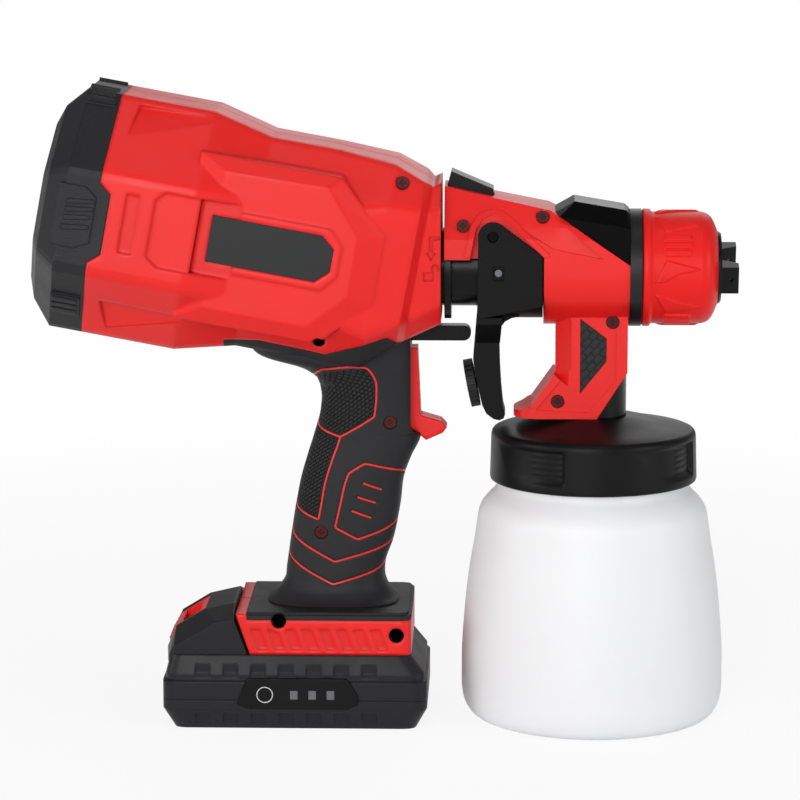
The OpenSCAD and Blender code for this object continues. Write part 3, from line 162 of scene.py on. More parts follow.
# glass-filled nylon of the battery: satin charcoal
packNylon = moulded("pa_charcoal_satin_moulded", colour="#17171a", rough=0.44, grain=0.6, bump=0.25, edge=1.2,
    specular=0.22)
ringAbs = moulded("abs_black_satin_turned", colour="#101011", rough=0.42, grain=0.6, bump=0.12, edge=0.6,
    specular=0.3)
innerNylon = moulded("pa_black_internal", colour="#323234", rough=0.5, grain=0.7, bump=0.2, edge=0.5)
sealRubber = moulded("nbr_black_moulded", colour="#1c1c1d", rough=0.62, grain=0.5, bump=0.2, edge=0.3)
steel = metal("steel_zinc_plated_drawn", colour="#b9bbbf", rough=0.32, stretch=(0.2, 1, 1))
alloy = metal("aluminium_turned", colour="#c4c6ca", rough=0.34, stretch=(1, 0.2, 0.2))
greySteel = metal("steel_zinc_dull", colour="#606266", rough=0.36)
brass = metal("brass_stamped", colour="#c9a45a", rough=0.3)

def translucent(name, **look):
    # light scatters inside the wall, over a depth in metres; slow waves of the blown wall in the gloss and the normal
    material, tree, shader = newMaterial(name, {"Base Color": hexToLinear(look["colour"]), "Roughness": look["rough"],
        "IOR": look["ior"], "Subsurface Weight": look["scatter"], "Subsurface Radius": (look["depth"],) * 3,
        "Subsurface Scale": 1.0})
    waves = addNoise(tree, addNode(tree, "ShaderNodeTexCoord").outputs["Object"], look["wave"], Detail=2.0)
    varyGloss(tree, shader, waves, look)
    addBump(tree, shader, look["bump"], look["height"], Height=waves.outputs["Fac"])
    return material

# blow-moulded HDPE: milky white with a soft waxy highlight
cupHdpe = translucent("hdpe_natural_blow_moulded", colour="#f0f1f3", rough=0.5, smoother=0.04, rougher=0.06,
    ior=1.54, scatter=0.35, depth=0.012, wave=18, bump=0.25, height=0.0004)
clearTube = moulded("ldpe_natural_extruded", colour="#e3e5e6", rough=0.35, grain=1.0, bump=0.05, edge=0.2)
sealPe = moulded("pe_foam_seal", colour="#d6d6d6", rough=0.7, grain=0.4, bump=0.3, edge=0.2)
filterFoam = moulded("pu_foam_open_cell", colour="#3c3c3f", rough=0.9, grain=1.4, bump=1.0, edge=0.3)
rotorPbt = moulded("pbt_white_fan", colour="#d9d9db", rough=0.4, grain=0.8, bump=0.1, edge=0.3)
cellWrap = moulded("pvc_shrink_sleeve_blue", colour="#2f7f9f", rough=0.3, grain=1.2, bump=0.1, edge=0.3)
wirePvc = moulded("pvc_black_insulation", colour="#202022", rough=0.45, grain=0.8, bump=0.1, edge=0.2)
labelFilm = moulded("pet_label_matt_film", colour="#131416", rough=0.36, specular=0.3, grain=0.35, bump=0.05,
    edge=0.2, tone=0.02)
lensPc = moulded("pc_smoked_lens", colour="#57575b", rough=0.22, grain=0.5, bump=0.05, edge=0.2, coat=0.4)
# pad-printed ink: matt off-white
printWhite = moulded("ink_white_pad_printed", colour="#c9c9cb", rough=0.5, grain=0.3, bump=0.05, edge=0.05)

def openMoulded(name, look):
    # a moulded material, with its tree, its shader and the normal that feeds the shader
    material = moulded(name, **look)
    shader = next(n for n in material.node_tree.nodes if n.type == "BSDF_PRINCIPLED")
    return material, material.node_tree, shader, shader.inputs["Normal"].links[0].from_socket

def addScales(tree, flat, look):
    # turned rows of offset cells in mm, black in the gaps; every second cell has this shade
    turned = addNode(tree, "ShaderNodeMapping", {"Rotation": (0, 0, math.radians(look["turn"]))}, {"Vector": flat})
    shade = (look["shade"],) * 3 + (1,)
    return addNode(tree, "ShaderNodeTexBrick", {"offset": 0.5, "Color1": (1, 1, 1, 1), "Color2": shade,
        "Mortar": (0, 0, 0, 1), "Scale": 1000.0, "Mortar Size": look["gap"], "Mortar Smooth": look["gapSoft"],
        "Brick Width": look["cellWide"], "Row Height": look["cellHigh"]}, {"Vector": turned.outputs["Vector"]})

def scaledPad(name, **look):
    # rubber pad with slanted rows of offset scales, laid on the flank's x and z
    material, tree, shader, soft = openMoulded(name, look)
    place = addNode(tree, "ShaderNodeTexCoord")
    parts = addNode(tree, "ShaderNodeSeparateXYZ", None, {"Vector": place.outputs["Object"]})
    flat = addNode(tree, "ShaderNodeCombineXYZ", None, {"X": parts.outputs["X"], "Y": parts.outputs["Z"]})
    scales = addScales(tree, flat.outputs["Vector"], look)
    addBump(tree, shader, 1.0, look["height"], Height=scales.outputs["Color"], Normal=soft)
    return material

padRubber = scaledPad("nbr_black_scaled", colour="#141415", rough=0.42, grain=0.5, bump=0.15, edge=0.3, specular=0.3,
    cellWide=4.4, cellHigh=2.9, gap=0.25, gapSoft=0.6, shade=0.7, turn=-48, height=0.0006)

def panelRubber(name, **look):
    # the overmould again, with rows of small offset scales pressed in where the piece's panel attribute is 1; painted
    # shade in their gaps
    material, tree, shader, soft = openMoulded(name, look)
    flat = addNode(tree, "ShaderNodeUVMap")
    scales = addScales(tree, flat.outputs["UV"], look)
    mask = addNode(tree, "ShaderNodeAttribute", {"attribute_name": "panel"})
    height = addNode(tree, "ShaderNodeMath", {"operation": "MULTIPLY"},
        {0: scales.outputs["Color"], 1: mask.outputs["Fac"]})
    addBump(tree, shader, 1.0, look["height"], Height=height.outputs[0], Normal=soft)
    # painted shade: the base colour drops to gapLight in the gaps between the scales, where less light reaches, and
    # rises to topLight everywhere else
    gap = addNode(tree, "ShaderNodeMath", {"operation": "SUBTRACT"}, {0: mask.outputs["Fac"], 1: height.outputs[0]})
    dim = addNode(tree, "ShaderNodeMapRange", {"To Min": look["topLight"], "To Max": look["gapLight"]},
        {"Value": gap.outputs[0]})
    tint = shader.inputs["Base Color"].links[0].from_socket
    shaded = addNode(tree, "ShaderNodeHueSaturation", None, {"Color": tint, "Value": dim.outputs["Result"]})
    tree.links.new(shaded.outputs["Color"], shader.inputs["Base Color"])
    return material

# one scale of the grip's panels in mm, and the turn of its rows in degrees; the skin's mesh uses the same values
gripScale = {"cellWide": 2.3, "cellHigh": 1.6, "gap": 0.26, "turn": 38}
# topLight and gapLight scale the base colour: painted shade in the gaps between the scales
gripSkinRubber = panelRubber("tpe_charcoal_overmould_scaled", colour="#1c1c1e", rough=0.55, grain=0.7, bump=0.3,
    edge=0.2, specular=0.22, gapSoft=0.9, shade=0.8, height=0.0005, topLight=1.25, gapLight=0.3, **gripScale)
# the lid's ABS is a shade greyer and duller than the head's black
lidAbs = moulded("abs_black_satin_lid", colour="#0b0b0d", rough=0.4, grain=0.6, bump=0.15, edge=0.5, specular=0.14)
# the nut's red is a little deeper and duller, with crisp bars
nutAbs = moulded("abs_red_satin_fine", colour="#d91916", rough=0.42, grain=0.5, bump=0.12, edge=0.2, specular=0.2)
# the red core showing in the grooves of the rubber
redCore = moulded("abs_red_core", colour="#c9201c", rough=0.42, grain=0.5, bump=0.1, edge=0.2)

# material of each node of the frame; the covers made here bring their own
finishOf = {
    "right_housing": housingAbs, "left_housing": housingAbs, "head_shell_right": redAbs, "head_shell_left": redAbs,
    # the screws' material carries a painted red reflection of their recess walls
    "nozzle_nut": redAbs, "battery_latch": redAbs, "housing_screws": screwAbsRedReflection, "head_screws": screwAbsRedReflection,
    "rear_cap": capAbs, "intake_filter": filterFoam, "grip_rubber_right": gripRubber, "grip_rubber_left": gripRubber,
    "label_plate": labelFilm, "turbine_case": innerNylon, "motor_mount": innerNylon, "outlet_duct": innerNylon,
    "switch_body": innerNylon, "socket_seal": sealRubber, "inset_pads": padRubber, "motor_can": steel,
    "motor_shaft": steel, "rod_spring": steel, "button_spring": steel, "needle_spring": steel, "latch_spring": steel,
    "needle": steel, "drive_screws": greySteel, "lock_collar": alloy, "fluid_body": alloy, "fluid_nozzle": alloy,
    "terminal_block": brass, "needle_seal": brass, "battery_contacts": brass, "wire_loom": wirePvc,
    "impeller": rotorPbt, "switch_rod": glossAbs, "barrel": glossAbs, "nose_cover": noseAbs, "nose_ring": ringAbs,
    # the trigger pin's end takes the near-black nose material as painted shade, so it reads as a dark hole
    "trigger_pin": noseAbs, "neck_tube": glossAbs, "cup_lid": glossAbs, "release_button": glossAbs,
    "trigger": plateAbs, "flow_knob": capAbs, "air_cap": glossAbs, "pickup_tube": clearTube, "cup": cupHdpe,
    "cup_gasket": sealPe, "battery_lower": packNylon, "battery_upper": packNylon, "battery_cells": cellWrap,
    "gauge_panel": glossAbs, "gauge_windows": lensPc,
}
for name, obj in nodes.items():
    obj.data.materials.clear()
    obj.data.materials.append(finishOf[name])
print("materials set:", len(bpy.data.materials))

def smoothCurve(xs, ys, x):
    # cubic Hermite through the stations, slopes from the neighbours on both sides
    xs, ys, x = np.asarray(xs, float), np.asarray(ys, float), np.asarray(x, float)
    slope = np.gradient(ys, xs)
    i = np.clip(np.searchsorted(xs, x) - 1, 0, len(xs) - 2)
    h = xs[i + 1] - xs[i]
    t = np.clip((x - xs[i]) / h, 0, 1)
    return ((2 * t**3 - 3 * t**2 + 1) * ys[i] + (t**3 - 2 * t**2 + t) * h * slope[i]
        + (3 * t**2 - 2 * t**3) * ys[i + 1] + (t**3 - t**2) * h * slope[i + 1])

def gridPiece(name, points, material, body, closeRows=False, closeColumns=False, capEnds=False, uv=None,
        smooth=True):
    # points is a rows x columns x 3 array in metres; neighbours in it become quads
    rows, columns = points.shape[:2]
    index = np.arange(rows * columns).reshape(rows, columns)
    if closeRows:
        index = np.vstack([index, index[:1]])
    if closeColumns:
        index = np.hstack([index, index[:, :1]])
    a, b, c, d = index[:-1, :-1], index[:-1, 1:], index[1:, 1:], index[1:, :-1]
    quads = np.stack([a, b, c, d], -1).reshape(-1, 4)
    mesh = bpy.data.meshes.new(name)
    faces = quads.tolist()
    if capEnds:
        faces += [index[0, :columns][::-1].tolist(), index[-1, :columns].tolist()]
    mesh.from_pydata(points.reshape(-1, 3).tolist(), [], faces)
    if uv is not None:
        layer = mesh.uv_layers.new(name="UVMap")
        loops = np.empty(len(mesh.loops), int)
        mesh.loops.foreach_get("vertex_index", loops)
        layer.data.foreach_set("uv", uv.reshape(-1, 2)[loops].ravel())
    mesh.update()
    if smooth:
        mesh.shade_smooth()
    mesh.materials.append(material)
    piece = addObject(name, mesh)
    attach(piece, body)
    return piece

# the rubber grip, in mm
grip = {
    # share of the height from low to high, x of the rear and of the front, and what the half width gains there
    "stations": [[-0.04, -52, 7.4, 8], [0, -52, 7.4, 8], [0.018, -49.6, 4.8, 4.6], [0.043, -46.9, 2.6, 1.8],
        [0.08, -44.2, 0.7, 0.2], [0.14, -43.1, 0.3, -0.4], [0.26, -41.2, 4.4, -0.3], [0.4, -38.7, 7.4, 0],
        [0.51, -36.2, 9.0, 0.2], [0.59, -33.6, 12.2, 0.1], [0.67, -30.8, 16.4, 0], [0.78, -27.6, 15.6, 0.6],
        [0.86, -27.4, 15.4, 1.2], [0.925, -30.6, 15.3, 2.2], [0.965, -38.6, 15.2, 3.6], [1, -53, 15.2, 5],
        [1.1, -56.5, 15.2, 6.4]],
    "width": 35, "low": 53.0, "high": 165.0, "power": 0.72,
    # level whose ring measures arcs, and the points on it
    "arcLevel": 110.0, "arcPoints": 1441,
    # the skin: its range, rows and columns, how far it stands out, and the lips turned in along the front edges
    "skinLow": 53.4, "skinHigh": 176.0, "rows": 300, "columns": 321, "proud": 0.55, "lip": 2.4,
    # x of the front edge at three heights: it steps back behind the finger hook
    "edgeHeights": [126.8, 131.0, 134.6], "edgeFronts": [30, 13.8, 12.2],
    # grooves, with their walls measured from the half width, and the scaled panels inside them
    "groove": 1.5, "grooveDepth": 0.45, "grooveWall": [-0.35, 0.25],
    "panelWall": [0.5, 1.6], "panelDepth": 0.24, "scaleHeight": 0.26, "scaleWall": [0.05, 0.6],
    # the red strips in the grooves: width, levels of foot, shoulder and middle, and the flat share of the width
    "lineWidth": 0.95, "lineFoot": -0.4, "lineShoulder": 0.4, "lineTop": 0.52, "lineFlat": 0.7,
    "pathStep": 1.2, "lineStep": 0.5,
}

def gripRow(z):
    # mean x, half length and half width of the grip at height z, all in mm
    table = np.array(grip["stations"])
    t = (z - grip["low"]) / (grip["high"] - grip["low"])
    rear, front = smoothCurve(table[:, 0], table[:, 1], t), smoothCurve(table[:, 0], table[:, 2], t)
    half = grip["width"] / 2 + smoothCurve(table[:, 0], table[:, 3], t)
    return (rear + front) / 2, (front - rear) / 2, half

def gripPoint(angle, z):
    # superellipse ring: x and y are the cosine and sine raised to the grip's power, times the half sizes
    middle, length, width = gripRow(z)
    c, s = np.cos(angle), np.sin(angle)
    x = middle + length * np.sign(c) * np.abs(c) ** grip["power"]
    y = width * np.sign(s) * np.abs(s) ** grip["power"]
    return np.stack([x, y, z + 0 * x], -1) / 1000

def gripAngle(x, z):
    # angle whose ring point lies at x
    middle, length, width = gripRow(z)
    q = np.clip((x - middle) / length, -1, 1)
    return np.arccos(np.sign(q) * np.abs(q) ** (1 / grip["power"]))

# arcs are measured in mm from the rear's middle line round one ring
ringAngles = np.linspace(np.pi, 0, grip["arcPoints"])
ringTrack = gripPoint(ringAngles, np.full(grip["arcPoints"], grip["arcLevel"])) * 1000
ringArc = np.concatenate([[0], np.cumsum(np.linalg.norm(np.diff(ringTrack, axis=0), axis=1))])

def arcToAngle(arc):
    return np.interp(arc, ringArc, ringAngles)

def angleToArc(angle):
    return np.interp(-angle, -ringAngles, ringArc)

def gripNormal(angle, z, turn=0.01, rise=0.2):
    # cross product of two small steps on the surface, in radians round it and mm up it
    across = gripPoint(angle - turn, z) - gripPoint(angle + turn, z)
    up = gripPoint(angle, z + rise) - gripPoint(angle, z - rise)
    n = np.cross(up, across)
    return n / np.linalg.norm(n, axis=-1, keepdims=True)

def densePath(points, step):
    # straight legs cut into even steps
    points = np.array(points, float)
    legs = np.linalg.norm(np.diff(points, axis=0), axis=1)
    along = np.concatenate([[0], np.cumsum(legs)])
    t = np.linspace(0, along[-1], max(int(along[-1] / step), 3) + 1)
    return np.stack([np.interp(t, along, points[:, k]) for k in range(points.shape[1])], 1)

def insideOutline(x, y, outline):
    # even-odd crossing test against every edge of the outline
    inside = np.zeros(np.shape(x), bool)
    for (xa, ya), (xb, yb) in zip(outline, outline[1:] + outline[:1]):
        crosses = (ya > y) != (yb > y)
        inside ^= crosses & (x < xa + (y - ya) * (xb - xa) / (yb - ya + 1e-12))
    return inside

def pathDistance(x, y, path):
    # shortest distance from each point to the legs of the path
    best = np.full(np.shape(x), 1e9)
    for a, b in zip(path[:-1], path[1:]):
        d = b - a
        t = np.clip(((x - a[0]) * d[0] + (y - a[1]) * d[1]) / (d @ d + 1e-12), 0, 1)
        best = np.minimum(best, np.hypot(x - a[0] - t * d[0], y - a[1] - t * d[1]))
    return best

def step01(low, high, value):
    # eased step from 0 at low to 1 at high: three t squared less two t cubed
    t = np.clip((value - low) / (high - low), 0, 1)
    return t * t * (3 - 2 * t)

def gripPath(points):
    # side-view points (x, z) to (arc, z); a point marked "rear" or "front" lies on that middle line
    middles = {"rear": 0.0, "front": ringArc[-1]}
    flat = [[middles[x] if x in middles else float(angleToArc(gripAngle(np.array(x), np.array(z)))), z]
        for x, z in points]
    return densePath(flat, grip["pathStep"])

# the red lines in side view: x and height of their corners, in mm
gripLines = {
    "upperPanel": [["rear", 154.5], [-26.6, 161.0], [-15.4, 162.4], [-7.2, 162.2], [-4.0, 158.6], [-3.4, 139.4],
        [-18.6, 130.0], [-28.6, 134.8], ["rear", 141.5]],
    "lowerPanel": [[-18.6, 130.0], [-28.4, 92.1], [-38.5, 98.3], ["rear", 101.0]],
    "frontPanel": [["front", 112.2], [6.3, 114.6], [-7.6, 118.1], [-14.9, 113.6], [-21.1, 88.7], [-11.1, 83.3],
        [4.3, 89.3], ["front", 93.0]],
    "upperBand": [["rear", 88.6], [-37.5, 82.3], [-21.2, 72.9], [1.6, 80.2], ["front", 84.5]],
    "lowerBand": [["rear", 78.0], [-38.6, 72.0], [-22.1, 62.6], [-1.4, 69.5], ["front", 73.5]],
    "dashTop": [[-8.5, 109.1], [-0.4, 106.0]],
    "dashMiddle": [[-11.0, 102.8], [-2.9, 100.0]],
    "dashLow": [[-13.6, 96.5], [-5.1, 93.1]],
}
# the skin is open over the two screws: x and height of their axes, and the radius
gripHoles = {"centres": [[3.6, 136.6], [-27.3, 86.4]], "radius": 3.15}

def scaleCrown(u, v):
    # 0 in the gaps and 1 on the top of a scale: distance to the nearest border of its cell, eased
    wide, high, turn = gripScale["cellWide"], gripScale["cellHigh"], math.radians(gripScale["turn"])
    x, y = u * math.cos(turn) - v * math.sin(turn), u * math.sin(turn) + v * math.cos(turn)
    x = (x + np.where(np.floor(y / high) % 2 == 0, wide / 2, 0)) % wide
    y = y % high
    return step01(*grip["scaleWall"], np.minimum(np.minimum(x, wide - x), np.minimum(y, high - y)))

def buildGrip():
    # rows run up the grip, columns run by equal arc from one front edge round the rear to the other
    g = grip
    paths = {key: gripPath(points) for key, points in gripLines.items()}
    z = np.linspace(g["skinLow"], g["skinHigh"], g["rows"])
    share = np.linspace(-1, 1, g["columns"])
    sign = np.where(share < 0, -1.0, 1.0)
    middle, length, width = gripRow(z)
    frontEdge = np.minimum(np.interp(z, g["edgeHeights"], g["edgeFronts"]), middle + length - 1e-6)
    arc = np.abs(share)[None, :] * angleToArc(gripAngle(frontEdge, z))[:, None]
    level = np.broadcast_to(z[:, None], arc.shape)
    angle = arcToAngle(arc)
    points, normals = gripPoint(angle, level), gripNormal(angle, level)
    # the skin sinks in the grooves and, by a little, in the scaled panels
    nearLine = np.min([pathDistance(arc, level, p) for p in paths.values()], axis=0)
    low, high = g["groove"] / 2 + g["grooveWall"][0], g["groove"] / 2 + g["grooveWall"][1]
    lift = g["proud"] - g["grooveDepth"] * (1 - step01(low, high, nearLine))
    upperOutline = [tuple(p) for p in paths["upperPanel"]]
    # the lower panel closes along the lower edge of the upper one
    shared = gripLines["upperPanel"][-1][1]
    lowerOutline = [tuple(p) for p in paths["lowerPanel"]] + [(0, shared)]
    lowerOutline += [p for p in upperOutline[::-1] if p[1] < shared + 0.5 and p[0] < 20]
    inPanel = insideOutline(arc, level, upperOutline) | insideOutline(arc, level, lowerOutline)
    panel = np.where(inPanel, step01(*g["panelWall"], nearLine), 0.0)
    lift = lift + panel * (g["scaleHeight"] * scaleCrown(arc * sign, level) - g["panelDepth"])
    points = points + normals * (lift / 1000)[..., None]
    # lips turned in along the front edges, then the rows mirrored to their own side
    lip = points[:, [0, -1]] - normals[:, [0, -1]] * (g["lip"] / 1000)
    points = np.concatenate([lip[:, :1], points, lip[:, 1:]], 1)
    points[..., 1] *= np.concatenate([sign[:1], sign, sign[-1:]])
    uv = np.stack([arc * sign, level], -1) / 1000
    uv = np.concatenate([uv[:, :1], uv, uv[:, -1:]], 1)
    skin = gridPiece("gripSkin", points[:, ::-1], gripSkinRubber, "gun", uv=uv[:, ::-1])
    mask = skin.data.attributes.new("panel", "FLOAT", "POINT")
    bare = panel[:, :1] * 0
    mask.data.foreach_set("value", np.concatenate([bare, panel, bare], 1)[:, ::-1].ravel())
    # quads over the screw holes are taken out
    centres = np.empty(len(skin.data.polygons) * 3)
    skin.data.polygons.foreach_get("center", centres)
    centres = centres.reshape(-1, 3) * 1000
    gone = np.zeros(len(centres), bool)
    for x, height in gripHoles["centres"]:
        gone |= np.hypot(centres[:, 0] - x, centres[:, 2] - height) < gripHoles["radius"]
    work = bmesh.new()
    work.from_mesh(skin.data)
    work.faces.ensure_lookup_table()
    bmesh.ops.delete(work, geom=[work.faces[i] for i in np.flatnonzero(gone)], context="FACES")
    work.to_mesh(skin.data)
    work.free()
    # red strips in the grooves, on both sides; each point of a line moves halfway to its neighbours' mean
    for key, path in paths.items():
        dense = densePath(path, g["lineStep"])
        smooth = dense.copy()
        smooth[1:-1] = (dense[:-2] + 2 * dense[1:-1] + dense[2:]) / 4
        for side in (-1, 1):
            profileStrip("gripLine_%s_%s" % (key, "right" if side < 0 else "left"), smooth, side)
    print("grip skin and inlays made")

def profileStrip(name, path, side):
    # six profile points across the line: foot, shoulder, the flat middle, shoulder, foot
    angle, z = arcToAngle(path[:, 0]), path[:, 1]
    base, normal = gripPoint(angle, z), gripNormal(angle, z)
    tangent = np.gradient(base, axis=0)
    tangent /= np.linalg.norm(tangent, axis=1, keepdims=True) + 1e-12
    across = np.cross(tangent, normal)
    w = grip["lineWidth"] / 2
    foot, shoulder, top, flat = (grip[key] for key in ("lineFoot", "lineShoulder", "lineTop", "lineFlat"))
    half = [[w, foot], [w, shoulder], [w * flat, top]]
    profile = np.array([[-u, v] for u, v in half] + half[::-1]) / 1000
    rows = base[:, None] + across[:, None] * profile[None, :, :1] + normal[:, None] * profile[None, :, 1:]
    rows = rows * np.array([1, side, 1])
    if side < 0:
        rows = rows[:, ::-1]
    return gridPiece(name, rows, redCore, "gun", closeColumns=True, capEnds=True, smooth=False)

# the blown cup, in mm; the clip keeps the smooth curve inside the widest radius, and no point lies on the axis
cupShape = {
    "centre": 94.6, "wall": 1.8, "turns": 160, "rows": 110, "widest": 58.97, "pinhole": 0.02,
    # outer profile from the foot up and the lip: radius, height
    "outer": [[0, 0.6], [30, 0.6], [44, 0.2], [50, 0.3], [54.5, 2.2], [57.4, 6.2], [58.8, 12], [59.0, 20], [58.9, 30],
        [57.9, 46], [55.8, 66], [52.9, 84], [51.9, 91], [51.0, 95.5], [48.8, 99.2], [46.0, 102.2], [43.9, 104.6],
        [43.0, 106.6], [42.9, 110], [42.9, 126.2]],
    "lip": [[42.9, 126.5], [42.6, 126.8], [41.6, 126.8], [41.2, 126.4]],
}
# the lid, in mm
lidShape = {
    "centre": 94.6, "bottom": 108.8, "top": 138.2, "radius": 46.5, "turns": 480,
    # foot and rim: radius less the lid's, height over its bottom; the skirt between them leans in by its draft
    "foot": [[-1.0, 0], [-0.2, 0.4], [0, 1.4]], "skirtHigh": 18.6, "skirtRows": 34, "draft": 0.028,
    "rim": [[-0.65, 20.9], [-0.95, 21.8], [-1.6, 22.6], [-2.8, 23.15], [-9, 24.4], [-16, 26.0]],
    # cone and inside: radius, height over the bottom; neck: radius, height over the top
    "cone": [[18.5, 29.0]], "neck": [[17.6, -0.1], [16, 0], [7.2, 0], [7.2, -2.6], [16, -3.2]],
    "inside": [[39.2, 21.4], [43.0, 20.0], [43.15, 18.8], [43.15, 0]],
    # scoops: place of one step, lengths at foot and top and the step's wall in degrees, then the heights over the
    # bottom at which they lean and fade out
    "scoops": 4, "scoopDepth": 2.3, "step": 253.5, "longLow": 37, "longTop": 52, "stepWall": 3.0,
    "lean": [5, 14], "fadeLow": [3.6, 3.0], "fadeHigh": [18.2, 20.2],
    # ribs in the scoops: height of the first one, then where they start and end in degrees from the step
    "ribFirst": 1.2, "ribPitch": 2.6, "ribDepth": 0.32, "ribStart": [2, 4], "ribEnd": [19, 23], "ribRamp": [0.2, 0.5],
    "softEdge": 0.3, "softAngle": 40,
}

def roundedProfile(points, count):
    # Catmull-Rom through the points, then spaced by equal length
    p = np.array(points, float)
    along = np.concatenate([[0], np.cumsum(np.linalg.norm(np.diff(p, axis=0), axis=1))])
    t = np.linspace(0, along[-1], count)
    return np.stack([smoothCurve(along, p[:, 0], t), smoothCurve(along, p[:, 1], t)], 1)

def turned(profile, centre, turns):
    # the profile's radius and height carried once round the upright axis at x = centre
    a = np.linspace(0, 2 * np.pi, turns, endpoint=False)
    r, z = profile[:, :1], profile[:, 1:]
    return np.stack([centre + r * np.cos(a), r * np.sin(a), z + 0 * a], -1) / 1000

# the barrel's round in mm, how far below its axis the flank is drawn in, and the turn that keeps an edge sharp
coverRound = {"radius": 25.4, "axis": 204.6, "low": -20.0, "strips": 20, "near": 0.05, "sharp": 25}

def buildCover(side):
    # merged copy of the head shell: its flat flank below the axis is cut into level strips, and each strip's edge
    # goes in to the round, where y is the root of the radius squared less the height squared
    c = coverRound
    work = bmesh.new()
    work.from_mesh(nodes["head_shell_" + side].data)
    bmesh.ops.remove_doubles(work, verts=work.verts, dist=1e-6)
    for height in np.linspace(0, c["low"], c["strips"], endpoint=False):
        bmesh.ops.bisect_plane(work, geom=work.verts[:] + work.edges[:] + work.faces[:],
            plane_co=(0, 0, (c["axis"] + height) / 1000), plane_no=(0, 0, 1))
    mesh = bpy.data.meshes.new("headCover_" + side)
    work.to_mesh(mesh)
    points = np.empty(len(mesh.vertices) * 3)
    mesh.vertices.foreach_get("co", points)
    points = points.reshape(-1, 3) * 1000
    height = np.clip(points[:, 2] - c["axis"], c["low"], 0)
    flank = (np.abs(points[:, 1]) > c["radius"] - c["near"]) & (points[:, 2] < c["axis"]) \
        & (points[:, 2] > c["axis"] + c["low"] - c["near"])
    points[:, 1] = np.where(flank, np.sign(points[:, 1]) * np.sqrt(c["radius"] ** 2 - height ** 2), points[:, 1])
    mesh.vertices.foreach_set("co", (points / 1000).ravel())
    work.clear()
    work.from_mesh(mesh)
    bmesh.ops.dissolve_degenerate(work, edges=work.edges, dist=1e-5)
    work.to_mesh(mesh)
    work.free()
    # the split normals that came with the CAD mesh don't fit its new faces
    if "custom_normal" in mesh.attributes:
        mesh.attributes.remove(mesh.attributes["custom_normal"])
    mesh.shade_smooth()
    mesh.set_sharp_from_angle(angle=math.radians(c["sharp"]))
    mesh.materials.clear()
    mesh.materials.append(headAbs)
    cover = addObject("headCover_" + side, mesh)
    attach(cover, "head")
    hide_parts("head_shell_" + side)
    print("head cover made,", side)

def buildCup():
    outer = roundedProfile(cupShape["outer"], cupShape["rows"])
    outer[:, 0] = np.clip(outer[:, 0], cupShape["pinhole"], cupShape["widest"])
    # inner wall: the outer profile moved in along its normal, then back down to the middle
    along = np.gradient(outer, axis=0)
    along /= np.linalg.norm(along, axis=1, keepdims=True)
    inner = outer + np.stack([-along[:, 1], along[:, 0]], 1) * cupShape["wall"]
    inner[:, 0] = np.maximum(inner[:, 0], cupShape["pinhole"])
    profile = np.concatenate([outer, cupShape["lip"], inner[::-1]])
    cup = gridPiece("cupShell", turned(profile, cupShape["centre"], cupShape["turns"]), cupHdpe, "cup",
        closeColumns=True, capEnds=True)
    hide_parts("cup")
    print("cup made")

def buildLid():
    # rows run up the outside, over the cone to the neck hole and back inside; the skirt loses scoops round it
    s = lidShape
    low, high, r = s["bottom"], s["top"], s["radius"]
    foot = [[r + k, low + h] for k, h in s["foot"]]
    skirt = [[r - s["draft"] * k, foot[-1][1] + k] for k in np.linspace(1, s["skirtHigh"], s["skirtRows"])]
    rim = [[r + k, low + h] for k, h in s["rim"]] + [[k, low + h] for k, h in s["cone"]]
    inside = [[k, high + h] for k, h in s["neck"]] + [[k, low + h] for k, h in s["inside"]]
    profile = np.array(foot + skirt + rim + inside)
    a = np.linspace(0, 2 * np.pi, s["turns"], endpoint=False)
    rad = np.broadcast_to(profile[:, :1], (len(profile), len(a))).copy()
    z = np.broadcast_to(profile[:, 1:], rad.shape)
    # back is the angle before the next step: each scoop starts at a slanted line, sinks evenly and ends in the step
    back = (s["step"] - np.degrees(a)) % (360 / s["scoops"])
    height = z - low
    reach = s["longLow"] + (s["longTop"] - s["longLow"]) * np.clip((height - s["lean"][0]) / s["lean"][1], 0, 1)
    ramp = np.clip(1 - back[None, :] / reach, 0, 1) * step01(0, s["stepWall"], back)[None, :]
    # the scoops fade out towards the foot and the rim; two points of the rim still belong to them
    fade = np.clip((height - s["fadeLow"][0]) / s["fadeLow"][1], 0, 1) * (1 - step01(*s["fadeHigh"], height))
    wave = 0.5 + 0.5 * np.cos(2 * np.pi * (height - s["ribFirst"]) / s["ribPitch"])
    ribs = s["ribDepth"] * wave * (step01(*s["ribStart"], back) * (1 - step01(*s["ribEnd"], back)))[None, :]
    scooped = np.arange(len(profile)) < len(foot + skirt) + 2
    sunk = fade * (ramp * s["scoopDepth"] - ribs * step01(*s["ribRamp"], ramp))
    rad = np.where(scooped[:, None], rad - sunk, rad)
    points = np.stack([s["centre"] + rad * np.cos(a), rad * np.sin(a), z], -1) / 1000
    lid = gridPiece("lidShell", points, lidAbs, "head", closeRows=True, closeColumns=True)
    edges = lid.modifiers.new("softEdges", "BEVEL")
    edges.width, edges.segments = s["softEdge"] / 1000, 2
    edges.limit_method, edges.angle_limit = "ANGLE", math.radians(s["softAngle"])
    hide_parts("cup_lid")
    print("lid made")

